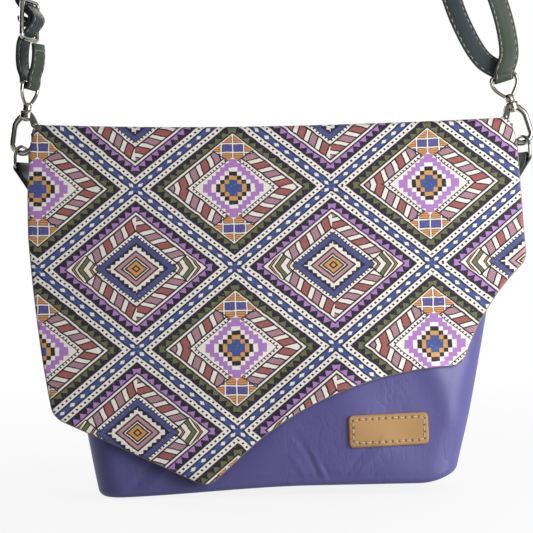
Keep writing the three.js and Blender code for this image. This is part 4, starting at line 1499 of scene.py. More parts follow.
@dataclass
class Flap(Assembly):
    """The printed flap: one leather sheet from the strip on the back, over the mouth and down to its hem.

    The outline's points are X and Z on the front; the eases and handles of its curves are steps from them.
    """

    top_half_width: float = 141.5
    strip_half_width: float = 139.0
    strip_bottom: float = 186.0
    strip_ease: Pair = (4.0, 24.0)
    fold_radius: float = 3.0
    lift: float = 4.4
    lift_top: float = 150.0
    lift_full: float = 52.0
    shoulder: Pair = (148.0, 198.0)
    shoulder_handle: Pair = (-1.0, 14.0)
    right_point: Pair = (150.3, 137.0)
    right_ease: tuple[Pair, Pair] = ((0.3, -6.0), (-4.0, -9.5))
    rise_handle: Pair = (12.0, 30.0)
    notch: Pair = (112.0, 76.0)
    notch_ease: tuple[Pair, Pair] = ((-9.0, -6.5), (-2.5, -6.5))
    sweep_handles: tuple[Pair, Pair] = ((33.0, 30.0), (-52.0, -8.0))
    sweep_end: Pair = (-19.0, 22.0)
    tip: Pair = (-41.5, 2.5)
    tip_ease: tuple[Pair, Pair, Pair] = ((-6.0, 1.8), (0.0, -0.8), (5.5, 4.5))
    left_corner: Pair = (-131.5, 43.5)
    left_ease: tuple[Pair, Pair] = ((-2.0, 5.5), (5.5, -2.5))
    left_side: Pair = (-147.4, 150.0)
    left_handles: tuple[Pair, Pair, Pair] = ((5.0, -58.0), (-1.0, 40.0), (0.0, 58.0))
    free_from: float = 190.0
    free_run: float = 150.0
    wave: float = 0.855
    wave_lengths: Pair = (38.0, 90.0)
    wave_shift: float = 1.1
    ripple_share: float = 0.35 / 0.9
    ripple_lengths: Pair = (13.0, 31.0)
    clearance: float = 0.25
    give: float = 1.0 / 3.0
    push_run: float = 20.0
    sag_from: float = 60.0
    sag_run: float = 60.0
    start_z: float = 209.0
    row_gap: float = 0.6
    columns: int = 190
    front_rows: int = 130
    even_share: float = 0.65
    edge_share: float = 0.8
    edge_bulge: float = 0.5
    sewing: Stitch = Stitch(3.2, 0.7, 0.25)
    sewing_inset: float = 4.0
    pitch: float = 4.2
    flat_size: Pair = (0.300, 0.266)

    def stand_off(self, z: Array) -> Array:
        """How far the flap hangs off the front at a height, so that the snap has room under it."""
        return self.lift * np.clip((self.lift_top - z) / (self.lift_top - self.lift_full), 0.0, 1.0)

    def profile(self) -> Array:
        """Draws the sheet's middle line.

        Returns:
            Y and Z pairs from the strip's lower edge up the back, over the fold and down the front.
        """
        gap = self.form.seat + self.form.leather / 2.0
        top = self.form.height + gap
        radius, high = self.fold_radius, top - self.fold_radius
        strip_z = np.linspace(self.strip_bottom, high, 24)
        strip = points_of(self.form.half_depth(strip_z) + gap, strip_z)
        bend_y = float(strip[-1, 0]) - radius
        z = np.linspace(high, 0.0, 260)[1:]
        front_y = -(self.form.half_depth(z) + gap + self.stand_off(z))
        return chain(
            strip,
            arc(bend_y, high, radius, 0.0, 90.0, 10)[1:],
            np.linspace((bend_y, top), (-bend_y, top), 18)[1:-1],
            arc(-bend_y, high, radius, 90.0, 180.0, 10),
            points_of(front_y, z),
        )

    def measured(self) -> tuple[Array, Array, float]:
        """The profile, the distance along it to each of its points, and to the middle of the mouth."""
        profile = self.profile()
        line = lengths_along(profile)
        return profile, line, line[np.argmin(np.abs(profile[:, 0]))]

    def left_bend(self) -> tuple[Pair, Pair, Pair]:
        """The drawing points of the rounded left corner, from the side to the hem."""
        before, after = (off(self.left_corner, step) for step in self.left_ease)
        return before, self.left_corner, after

    def right_bend(self) -> tuple[Pair, Pair, Pair]:
        """The drawing points of the rounded right point, from the side to the hem."""
        handle, after = (off(self.right_point, step) for step in self.right_ease)
        return self.right_point, handle, after

    def hem(self) -> Array:
        """Draws the hem.

        Returns:
            X and Z pairs from the middle of the left corner's bend by the tip and the notch to the middle of
            the right point's bend.
        """
        half = CURVE_STEPS // 2
        left, right = self.left_bend(), self.right_bend()
        tip_in, tip_low, tip_out = (off(self.tip, step) for step in self.tip_ease)
        notch_in, notch_low = (off(self.notch, step) for step in self.notch_ease)
        leave, arrive = off(self.sweep_end, self.sweep_handles[0]), off(self.notch, self.sweep_handles[1])
        return chain(
            bezier(*left)[half - 1 :],
            np.linspace(left[-1], tip_in, 60)[1:],
            bezier(tip_in, tip_low, tip_out),
            np.linspace(tip_out, self.sweep_end, 24)[1:],
            bezier(self.sweep_end, leave, arrive, notch_in, steps=60),
            bezier(notch_in, notch_low, self.notch),
            bezier(self.notch, off(self.notch, self.rise_handle), right[-1], steps=50),
            bezier(*right[::-1])[:half],
        )

    def outline(self, side: Side) -> Array:
        """Draws one side of the front.

        Args:
            side: Which side.

        Returns:
            X and Z pairs from the fold to where the hem begins.
        """
        half = CURVE_STEPS // 2
        top = (side.sign * self.top_half_width, self.form.height + self.form.seat + self.form.leather)
        if side is Side.RIGHT:
            upper = bezier(top, off(self.shoulder, self.shoulder_handle), self.shoulder)
            lower = np.linspace(self.shoulder, self.right_point, 40)[1:]
            return chain([top], upper, lower, bezier(*self.right_bend())[:half])
        low, first, second = (off(self.left_side, step) for step in self.left_handles)
        bend = self.left_bend()
        upper = bezier(self.left_side, first, second, top, steps=40)
        lower = bezier(bend[0], low, self.left_side, steps=60)
        return chain(upper[::-1], lower[::-1], bend[:1], bezier(*bend)[:half])

    @staticmethod
    def half_at(outline: Array, z: Array) -> Array:
        """The outline's X at a height."""
        return np.interp(z, outline[::-1, 1], outline[::-1, 0])

    def edges(self) -> list[Array]:
        """Cuts the front's edges into even steps.

        Returns:
            X and Z pairs of the left side, the right side and the hem, whose steps are a mix of even steps
            across and even steps along it.
        """
        edges = []
        for side in Side:
            line = self.outline(side)
            start = (self.half_at(line, self.start_z), self.start_z)
            below = chain([start], line[line[:, 1] < self.start_z])
            edges.append(resampled(below, self.front_rows))
        hem = resampled(self.hem(), 4 * self.columns)
        even_x = (hem[:, 0] - hem[0, 0]) / (hem[-1, 0] - hem[0, 0])
        even_run = np.linspace(0.0, 1.0, len(hem))
        mixed = self.even_share * even_x + (1.0 - self.even_share) * even_run
        return [*edges, read_at(np.linspace(0.0, 1.0, self.columns), mixed, hem)]

    def front_patch(self) -> Array:
        """Cuts the flap's front out of the flat sheet.

        Returns:
            A grid of X and distance along the profile, blended between its four edges: the two sides, a
            straight first row and the hem, each pair's blend less the blend of the corners.
        """
        profile, line, crest = self.measured()
        down = line > crest
        edges = self.edges()
        for edge in edges:
            edge[:, 1] = np.interp(edge[:, 1], profile[down, 1][::-1], line[down][::-1])
        left, right, hem = edges
        first = np.linspace(left[0], (right[0, 0], left[0, 1]), self.columns)
        u = np.linspace(0.0, 1.0, self.columns)[None, :, None]
        v = np.linspace(0.0, 1.0, self.front_rows)[:, None, None]
        corners = (1 - v) * ((1 - u) * left[0] + u * right[0]) + v * ((1 - u) * left[-1] + u * right[-1])
        return (1 - v) * first + v * hem + (1 - u) * left[:, None] + u * right[:, None] - corners

    def pattern(self) -> Array:
        """Cuts the whole flat sheet.

        Returns:
            A grid of X and distance along the profile: straight rows over the strip and the fold, as wide as
            the strip or the front's outline, and then the front.
        """
        profile, line, _ = self.measured()
        patch = self.front_patch()
        before = line[line < patch[0, 0, 1] - self.row_gap]
        y, z = profile[: len(before)].T
        start, run = self.strip_ease
        widening = (self.top_half_width - self.strip_half_width) * smooth((before - start) / run)
        strip = self.strip_half_width + widening
        reach = [np.maximum(np.abs(self.half_at(self.outline(side), z)), strip) for side in Side]
        left, right = (side.sign * np.where(y >= 0.0, strip, wide) for side, wide in zip(Side, reach))
        x = np.linspace(left, right, self.columns, axis=1)
        return chain(points_of(x, before[:, None]), patch)

    def hung(self, pattern: Array, offset: float | Array) -> Array:
        """Hangs the flat pattern on the profile.

        Args:
            pattern: The grid of X and distance along the profile.
            offset: How far along the profile's outward direction the points lie.

        Returns:
            Points with the profile's Y and Z, pushed out by the offset, slow waves towards the hem and what
            the swollen pouch needs, and sunk with the mouth's sag.
        """
        profile, line, crest = self.measured()
        heading = unit(np.gradient(profile, line, axis=0))
        x, s = pattern[..., 0], pattern[..., 1]
        y, z, ahead_y, ahead_z = (np.interp(s, line, values) for values in (*profile.T, *heading.T))
        y, z = y + offset * ahead_z, z - offset * ahead_y
        on_front = (s > crest).astype(float)
        free = self.wave * smooth((self.free_from - z) / self.free_run)
        (wave_x, wave_z), (ripple_x, ripple_z) = self.wave_lengths, self.ripple_lengths
        wave = 1.0 + np.sin(x / wave_x + self.wave_shift + z / wave_z)
        wave = np.maximum(wave + self.ripple_share * np.sin(x / ripple_x - z / ripple_z), 0.0)
        need = self.form.swell(x, z) - self.stand_off(z) + self.clearance
        push = np.logaddexp(0.0, need / self.give) * self.give
        y = y - on_front * (free * wave + push * smooth((self.lift_top - z) / self.push_run))
        return points_of(x, y, z + self.form.settle(x, z) * smooth((z - self.sag_from) / self.sag_run))

    @staticmethod
    def flat_area(pattern: Array) -> float:
        """The flat pattern's area, summed over its quads by the cross product of their diagonals."""
        first = pattern[1:, 1:] - pattern[:-1, :-1]
        second = pattern[1:, :-1] - pattern[:-1, 1:]
        return abs(float(np.sum(first[..., 0] * second[..., 1] - first[..., 1] * second[..., 0]) / 2.0))

    def strip_sewing(self, start: float) -> Piece:
        """Sews the strip to the back.

        Args:
            start: The distance along the profile where the sheet begins.

        Returns:
            The row of stitches along the strip's lower edge.
        """
        reach = self.strip_half_width - self.sewing_inset
        row = np.linspace((-reach, start + self.sewing_inset), (reach, start + self.sewing_inset), 200)
        seam = self.hung(row, self.form.leather / 2.0)
        place, along = along_line(seam, stitch_marks(lengths_along(seam)[-1], self.pitch, 1.0))
        thread = self.sewing.row(place, along, np.broadcast_to(FRONT_TO_BACK, along.shape))
        made = thread.piece("flap_strip_sewing", Finish.FLAP_THREAD.made)
        return fitted([made], Body.BAG.value, "printed_leather")[0]

    def build(self) -> list[Piece]:
        """Builds the sheet and the sewing that holds its strip to the back.

        Returns:
            The flap, which bends over the mouth, and the sewing.
        """
        pattern = self.pattern()
        half = np.full(pattern.shape[:2], self.form.leather / 2.0 * self.edge_share)
        half[1:-1, 1:-1] = self.form.leather / 2.0
        outer, inner = self.hung(pattern, half), self.hung(pattern, -half)
        skin = double_layer(outer, inner, pattern, self.edge_bulge, (0, 1, 2))
        faces = Finish.PRINTED.made, Finish.PRINTED_BACK.made, Finish.PRINTED_EDGE.made
        made = skin.piece("flap_sheet", *faces, crease_deg=70.0)
        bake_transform(made)
        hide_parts("flap", "flap_back_strip")
        thread = self.strip_sewing(pattern[0, 0, 1])
        return [made, thread]


@dataclass
class Label(Assembly):
    """The bare tan label, sewn all round to the front."""

    size: Pair = (47.0, 18.6)
    thickness: float = 1.6
    corner: float = 3.0
    middle: Pair = (65.0, 32.4)
    tilt_deg: float = 1.2
    steps: tuple[int, int] = (124, 56)
    edge_share: float = 0.62
    edge_round: float = 1.1
    edge_bulge: float = 0.25
    dent: float = 0.55
    dent_radius: float = 0.6
    # How wide the painted shade at each pricked hole spreads.
    prick_radius: float = 0.62
    rim_width: float = 0.9
    sewing_inset: float = 2.4
    sewing_corner: float = 1.2
    sewing_steps: int = 800
    pitch: float = 3.9
    stitch_share: float = 0.86
    thread: float = 0.75
    thread_rise: float = 0.12

    def on_panel(self, flat: Array, stand_off: float | Array) -> Array:
        """Lays flat label coordinates on the front panel, turned by the label's tilt.

        Args:
            flat: X and Z pairs from the label's middle.
            stand_off: Their distance from the panel.

        Returns:
            The points.
        """
        tilt = math.radians(self.tilt_deg)
        x = self.middle[0] + flat[..., 0] * math.cos(tilt) - flat[..., 1] * math.sin(tilt)
        z = self.middle[1] + flat[..., 0] * math.sin(tilt) + flat[..., 1] * math.cos(tilt)
        return self.form.front(x, z, stand_off)

    def grid(self) -> Array:
        """Draws the label's flat grid.

        Returns:
            A square grid whose corners are rounded by scaling each corner block to its circle.
        """
        half = np.array(self.size) / 2.0
        across, up = (np.linspace(-reach, reach, count) for reach, count in zip(half, self.steps))
        square = points_of(across, up[:, None])
        place, core = np.abs(square), half - self.corner
        past = place - core
        outside = np.all(past > 0.0, axis=-1, keepdims=True)
        longest = np.maximum(np.linalg.norm(past, axis=-1, keepdims=True), 1e-9)
        bent = np.minimum(place, core) + past * past.max(-1, keepdims=True) / longest
        return np.where(outside, bent, place) * np.sign(square)

    def holes(self) -> Array:
        """Marks the pricked holes.

        Returns:
            Flat label coordinates, evenly spaced round the label inside its edge.
        """
        reach = np.array(self.size) / 2.0 - self.sewing_inset
        loop = rounded_box(*reach, self.sewing_corner, 6)
        loop = resampled(chain(loop, loop[:1]), self.sewing_steps)
        count = int(lengths_along(loop)[-1] / self.pitch)
        return loop[(np.arange(count) * self.sewing_steps / count).astype(int)]

    def leather(self, holes: Array) -> Piece:
        """Builds the leather.

        Args:
            holes: The pricked holes.

        Returns:
            The leather, rounded at its edge and dented at the holes, with the numbers that its finish reads.
        """
        flat = self.grid()
        away = np.min(np.linalg.norm(flat[:, :, None] - holes, axis=-1), axis=-1)
        edge = np.minimum((np.array(self.size) / 2.0 - np.abs(flat)).min(-1), 4.0)
        crown = self.edge_share + (1.0 - self.edge_share) * dome(edge / self.edge_round)
        high = self.form.seat + self.thickness * crown - self.dent * bell(away / self.dent_radius)
        top, bottom = self.on_panel(flat, high), self.on_panel(flat, np.full(high.shape, self.form.seat))
        skin = double_layer(top, bottom, flat, self.edge_bulge, (0, 0, 0))
        made = skin.piece("label_leather", Finish.LABEL.made, crease_deg=80.0)
        spare = np.zeros(len(skin.points) - away.size)
        # The hole mark places painted shade in the pricked holes; the rim mark is the burnished edge.
        marks = {"prick": bell(away / self.prick_radius), "rim": bell(edge / self.rim_width)}
        for name, values in marks.items():
            layer = made.data.attributes.new(name, "FLOAT", "POINT")
            layer.data.foreach_set("value", chain(values.ravel(), spare).astype(np.float32))
        return made

    def build(self) -> list[Piece]:
        """Builds the label.

        Returns:
            The leather with its pricked holes, and the stitches from hole to hole.
        """
        holes = self.holes()
        made = self.leather(holes)
        start = self.on_panel(holes, self.form.seat + self.thickness)
        stop = np.roll(start, -1, axis=0)
        along = unit(stop - start)
        out = square_to(np.broadcast_to(-FRONT_TO_BACK, along.shape), along)
        stitch = Stitch(self.pitch * self.stitch_share, self.thread, self.thread_rise)
        thread = stitch.row((start + stop) / 2.0, along, out)
        sewn = thread.piece("label_sewing", Finish.LABEL_THREAD.made)
        return fitted([made, sewn], Body.BAG.value, "label_leather", "label_patch")


# Fittings


@dataclass
class SideTab(SidedAssembly):
    """A leather tab sewn to the side, folded round the D-ring's bar and back on itself."""

    width: float = 12.0
    leather: float = 1.6
    edge: float = 0.6
    loop_radius: float = 2.2
    loop_deg: float = 170.0
    loop_touch: Pair = (0.776, -0.631)
    fold_gap: float = 0.1
    strip_heights: tuple[float, ...] = (215.0, 205.0, 195.0, 185.0, 177.5)
    turn_points: tuple[Pair, ...] = ((9.8, 174.9), (10.1, 173.9), (10.8, 173.7), (11.5, 174.5))
    outer_steps: tuple[float, ...] = (2.5, 6.0, 12.0, 18.0, 22.0)
    inner_steps: tuple[float, ...] = (19.0, 13.0, 7.0, 3.0)
    stitch: Stitch = Stitch(2.6, 0.65, 0.2)
    sewing: Triple = (5.0, 17.0, 3.4)
    sewing_at: float = 4.4

    def strip_n(self, z: Array) -> Array:
        """Works out where the tab's strip lies on the side.

        Args:
            z: Heights.

        Returns:
            The distance of the strip's middle line from the tab's axis.
        """
        deep = self.form.half_depth(z)
        reach = self.form.half_width(z) - deep - self.gear.tab_axis_x
        wall = reach * math.cos(math.radians(self.gear.tab_yaw_deg)) + deep
        return wall + self.form.seat + self.leather / 2.0

    def path(self) -> Array:
        """Draws the tab's middle line in its own plane.

        Returns:
            Points from the mouth down the side, out, up round the ring's bar and back down.
        """
        ring_x, _, ring_z = self.gear.ring_place
        reach = (ring_x - self.gear.tab_axis_x) / math.cos(math.radians(self.gear.tab_yaw_deg))
        heights = np.array(self.strip_heights)
        strip = points_of(self.strip_n(heights), heights)
        start = np.array(self.turn_points[-1])
        aim = unit(np.array([reach, ring_z]) + self.loop_radius * np.array(self.loop_touch) - start)
        left = np.array([-aim[1], aim[0]])
        angle = math.degrees(math.atan2(-left[1], -left[0]))
        loop = arc(reach, ring_z, self.loop_radius, angle, angle + self.loop_deg, 9)
        outer, inner = (start + np.outer(steps, aim) for steps in (self.outer_steps, self.inner_steps))
        inner = inner + left * (self.leather + self.fold_gap)
        points = chain(strip, self.turn_points, outer, loop, inner)
        return smooth_path(np.insert(points, 1, 0.0, axis=1), 6)

    def build(self) -> list[Piece]:
        """Builds the tab.

        Returns:
            The folded leather and its sewing.
        """
        path = self.path()
        place = placing(turn_about(2, self.gear.tab_yaw_deg), (self.gear.tab_axis_x, 0.0, 0.0), self.side)
        across = np.broadcast_to(FRONT_TO_BACK, path.shape)
        up = np.cross(unit(np.gradient(path, axis=0)), across)
        profile = rounded_box(self.width / 2.0, self.leather / 2.0, self.edge, 4)
        profile_v = np.append(profile[:, 0], profile[0, 0])
        leather = sweep(path, across, up, profile, profile_v=profile_v).moved(place)
        made = leather.piece(f"tab_leather_{self.side.value}", Finish.STRAP.made)
        low = lengths_along(path)[np.argmin(path[:, 2])]
        first, last, pitch = self.sewing
        spots, heading = along_line(path, np.arange(low + first, low + last, pitch))
        out = np.cross(heading, np.broadcast_to(FRONT_TO_BACK, heading.shape))
        out *= np.sign(out[:, :1])
        on_face = spots + out * self.leather / 2.0
        places = (on_face + FRONT_TO_BACK * offset for offset in (-self.sewing_at, self.sewing_at))
        thread = Skin.joined([self.stitch.row(at, heading, out) for at in places]).moved(place)
        sewn = thread.piece(f"tab_sewing_{self.side.value}", Finish.STRAP_THREAD.made)
        return fitted([made, sewn], Body.BAG.value, "strap_leather", f"side_tab_{self.side.value}")


@dataclass
class DRing(SidedAssembly):
    """A D-ring of round wire: a straight bar in the tab and a bow for the hook."""

    wire_radius: float = 1.1
    half_width: float = 7.3
    corner: float = 1.6

    def build(self) -> list[Piece]:
        """Builds the ring.

        Returns:
            The ring, which swings on its tab.
        """
        half, corner, at = self.half_width, self.corner, self.side.value
        straight = half - corner
        line = chain(
            arc(straight, corner, corner, -90.0, 0.0, 8),
            arc(0.0, self.gear.ring_rise - half, half, 0.0, 180.0, 40),
            arc(-straight, corner, corner, 180.0, 270.0, 8),
            np.linspace((-straight, 0.0), (straight, 0.0), 12)[1:-1],
        )
        place = placing(turn_about(2, self.gear.tab_yaw_deg + 90.0), self.gear.ring_place, self.side)
        ring = wire(line, self.wire_radius, endless=True, sides=18).moved(place)
        made = ring.piece(f"ring_wire_{at}", Finish.NICKEL.made)
        return fitted([made], f"ring_{at}", "nickel", f"d_ring_{at}")


@dataclass
class SnapHook(SidedAssembly):
    """A swivel snap hook: bent arm, turned neck, forked cheeks, and a gate on its own pin with a coil spring.

    Ends of turned pieces are pairs of how far a point lies inside the full radius and how far from the end.
    """

    bend: float = 6.2
    bend_z: float = 4.4
    wire_radius: float = 1.8
    nose_z: float = 6.4
    nose_round: float = 1.6
    nose_least: float = math.sqrt(0.12)
    arm_top: float = 13.0
    arm_handle: float = 4.0
    join_reach: Pair = (1.0, 2.0)
    arm_swell: float = 0.14
    swell_from: float = 0.7
    neck_radius: float = 4.4
    neck_low: float = 19.0
    neck_high: float = 24.4
    neck_ends: tuple[Pair, ...] = ((1.0, 0.0), (0.3, 0.3), (0.0, 0.8), (0.0, 1.3), (0.45, 1.7))
    pivot_z: float = 16.8
    gate_radius: float = 1.6
    gate_gap: Pair = (0.35, 0.1)
    gate_foot: tuple[Pair, ...] = ((1.1, 0.0), (0.35, 0.1), (0.0, 0.5))
    gate_neck: tuple[Pair, ...] = ((0.0, -1.6), (0.5, -0.6), (0.6, 0.6), (0.7, 1.2))
    knuckle_radius: float = 1.9
    knuckle_span: Pair = (-1.6, 0.3)
    knuckle_ends: tuple[Pair, ...] = ((0.3, 0.0), (0.0, 0.3))
    pin_radius: float = 0.7
    pin_head: float = 0.42
    pin_ends: tuple[Pair, ...] = ((0.5, 0.0), (0.0, 0.08), (-0.35, 0.37), (0.0, 0.4))
    cheek_low: float = 1.9
    cheek_high: float = 2.9
    cheek_radius: float = 2.4
    cheek_bevel: float = 0.22
    cheek_drop: float = 1.2
    cheek_rise: float = 0.5
    cheek_turn: Pair = (180.0, 342.0)
    coil_radius: float = 1.15
    coil_wire: float = 0.26
    coil_span: Pair = (0.52, 1.34)
    coil_turns: int = 3

    def arm(self) -> Skin:
        """Bends the arm.

        Returns:
            A round wire, thinner at its rounded nose and thicker where it joins the neck.
        """
        bend, top, neck = self.bend, self.arm_top, self.neck_radius
        below, above = self.join_reach
        into = (neck, self.neck_low - below), (neck - self.wire_radius, self.neck_low + above)
        line = chain(
            np.linspace((-bend, self.nose_z), (-bend, self.bend_z), 6)[:-1],
            arc(0.0, self.bend_z, bend, 180.0, 360.0, 40),
            np.linspace((bend, self.bend_z), (bend, top), 10)[1:],
            bezier((bend, top), (bend, top + self.arm_handle), *into),
        )
        run = lengths_along(line)
        nose = np.maximum(dome(run / self.nose_round), self.nose_least)
        swell = smooth((run / run[-1] - self.swell_from) / (1.0 - self.swell_from))
        return wire(line, self.wire_radius * nose * (1.0 + self.arm_swell * swell), sides=18)

    def cheeks(self) -> list[Skin]:
        """Cuts the cheeks.

        Returns:
            The two plates that hold the gate's pin.
        """
        inner, high = -self.neck_radius / 2.0, self.neck_high - self.cheek_drop
        outline = chain(
            [(inner, high), (-self.neck_radius, high)],
            arc(-self.bend, self.pivot_z, self.cheek_radius, *self.cheek_turn, 16),
            [(inner, self.neck_low + self.cheek_rise)],
        )
        spans = (self.cheek_low, self.cheek_high), (-self.cheek_high, -self.cheek_low)
        return [plate(outline, low, high, self.cheek_bevel) for low, high in spans]

    def across(self, skin: Skin) -> Skin:
        """Lays a piece turned about Z along Y at the gate's pivot."""
        return skin.moved(placing(turn_about(0, -90.0), (-self.bend, 0.0, self.pivot_z)))

    def gate(self) -> Skin:
        """Turns the gate.

        Returns:
            The bar with its rounded foot and its neck, and the knuckle round the pin.
        """
        low = self.nose_z + self.gate_gap[0]
        high = self.pivot_z - self.knuckle_radius - self.gate_gap[1]
        profile = [(self.gate_radius - inset, low + rise) for inset, rise in self.gate_foot]
        profile += [(self.gate_radius - inset, high + rise) for inset, rise in self.gate_neck]
        bar = turned(profile, 24).moved(placing(np.eye(3), (-self.bend, 0.0, 0.0)))
        knuckle = turned(with_ends(self.knuckle_ends, self.knuckle_radius, *self.knuckle_span), 28)
        return Skin.joined([bar, self.across(knuckle)])

    def pin(self) -> Skin:
        """Turns the gate's pin with a flat domed head on each side."""
        reach = self.cheek_high + self.pin_head
        return self.across(turned(with_ends(self.pin_ends, self.pin_radius, -reach, reach), 24))

    def spring(self) -> Skin:
        """Coils the spring.

        Returns:
            A helix of wire round the pin.
        """
        turn = np.linspace(0.0, 2.0 * math.pi * self.coil_turns, 90)
        out = points_of(-np.cos(turn), 0.0, np.sin(turn))
        path = self.coil_radius * out + np.array([-self.bend, 0.0, self.pivot_z])
        path[:, 1] = np.linspace(*self.coil_span, len(turn))
        side = np.broadcast_to(FRONT_TO_BACK, path.shape)
        return sweep(path, out, side, round_profile(self.coil_wire, 8))

    def build(self) -> list[Piece]:
        """Builds the hook.

        Returns:
            The cast hook, its gate, pin and spring.
        """
        place, at = self.gear.hook_placing(self.side), self.side.value
        neck = turned(with_ends(self.neck_ends, self.neck_radius, self.neck_low, self.neck_high), 40)
        parts = (
            ("hook_cast", Skin.joined([self.arm(), neck, *self.cheeks()]), "hook", "hook"),
            ("gate_bar", self.gate(), "gate", "gate"),
            ("pin", self.pin(), "hook", "gate_pin"),
            ("spring_coil", self.spring(), "hook", "gate_spring"),
        )
        made = []
        for name, skin, body, node in parts:
            piece = skin.moved(place).piece(f"{name}_{at}", Finish.NICKEL.made, crease_deg=38.0)
            made += fitted([piece], f"{body}_{at}", "nickel", f"{node}_{at}")
        return made


@dataclass
class SwivelEye(SidedAssembly):
    """The strap's eye above a hook: a wire frame on a barrel, with a headed spindle in the hook's neck."""

    half_width: float = 7.9
    wire_radius: float = 1.2
    corner: float = 2.0
    waist: float = 2.2
    drops: Pair = (4.0, 6.6)
    waist_handle: Pair = (2.6, 2.8)
    barrel_low: float = 24.7
    barrel_radius: float = 3.0
    barrel_height: float = 5.0
    barrel_foot: tuple[Pair, ...] = ((0.5, 0.0), (0.0, 0.5), (0.0, 1.1), (0.35, 1.4), (0.35, 2.0), (0.0, 2.3))
    barrel_top: tuple[Pair, ...] = ((0.0, -1.2), (0.4, -0.4), (1.2, 0.0))
    spindle_radius: float = 1.3
    head_radius: float = 2.3
    head_top: float = 19.3
    head_foot: tuple[Pair, ...] = ((0.7, -1.2), (0.0, -0.6), (0.0, 0.0))

    def frame(self) -> Skin:
        """Bends the frame.

        Returns:
            A closed wire from its bar down to its waist on the barrel.
        """
        half, corner, top = self.half_width, self.corner, self.gear.eye_bar_z
        low = self.barrel_low + self.barrel_height - self.wire_radius
        handle = off((-half, low), self.waist_handle)
        left = bezier(*((-half, top - drop) for drop in self.drops), handle, (-self.waist, low), steps=20)
        line = chain(
            arc(half - corner, top - corner, corner, 0.0, 90.0, 10),
            np.linspace((half - corner, top), (-half + corner, top), 12)[1:-1],
            arc(-half + corner, top - corner, corner, 90.0, 180.0, 10),
            left,
            left[::-1] * np.array([-1.0, 1.0]),
        )
        return wire(line, self.wire_radius, endless=True)

    def build(self) -> list[Piece]:
        """Builds the eye.

        Returns:
            The frame with its barrel and spindle.
        """
        low, full, at = self.barrel_low, self.barrel_radius, self.side.value
        profile = [(self.head_radius - inset, self.head_top + rise) for inset, rise in self.head_foot]
        profile += [(self.spindle_radius, self.head_top), (self.spindle_radius, low)]
        profile += [(full - inset, low + rise) for inset, rise in self.barrel_foot]
        profile += [(full - inset, low + self.barrel_height + rise) for inset, rise in self.barrel_top]
        eye = Skin.joined([self.frame(), turned(profile)]).moved(self.gear.eye_placing(self.side))
        made = eye.piece(f"eye_frame_{at}", Finish.NICKEL.made, crease_deg=38.0)
        return fitted([made], Body.BAG.value, "nickel", f"swivel_eye_{at}")


@dataclass
class Slider(Assembly):
    """The strap's slider: a wire frame with a middle bar."""

    half_width: float = 8.1
    half_height: float = 12.0
    wire_radius: float = 1.5
    corner: float = 3.0

    def build(self) -> list[Piece]:
        """Builds the slider.

        Returns:
            The frame and its bar as one piece.
        """
        line = rounded_box(self.half_width, self.half_height, self.corner, 12)
        frame = wire(line, self.wire_radius, endless=True)
        bar = wire(np.linspace((-self.half_width, 0.0), (self.half_width, 0.0), 10), self.wire_radius)
        place = placing(self.gear.slider_turn(), self.gear.slider_at())
        made = Skin.joined([frame, bar]).moved(place).piece("slider_frame", Finish.NICKEL.made)
        return fitted([made], Body.BAG.value, "nickel", "slider")


def aimed(places: Sequence[Sequence[float]], *turns: float) -> Array:
    """Places on the strap's route with the same turns beside each."""
    return np.column_stack([places, np.full((len(places), len(turns)), turns)])


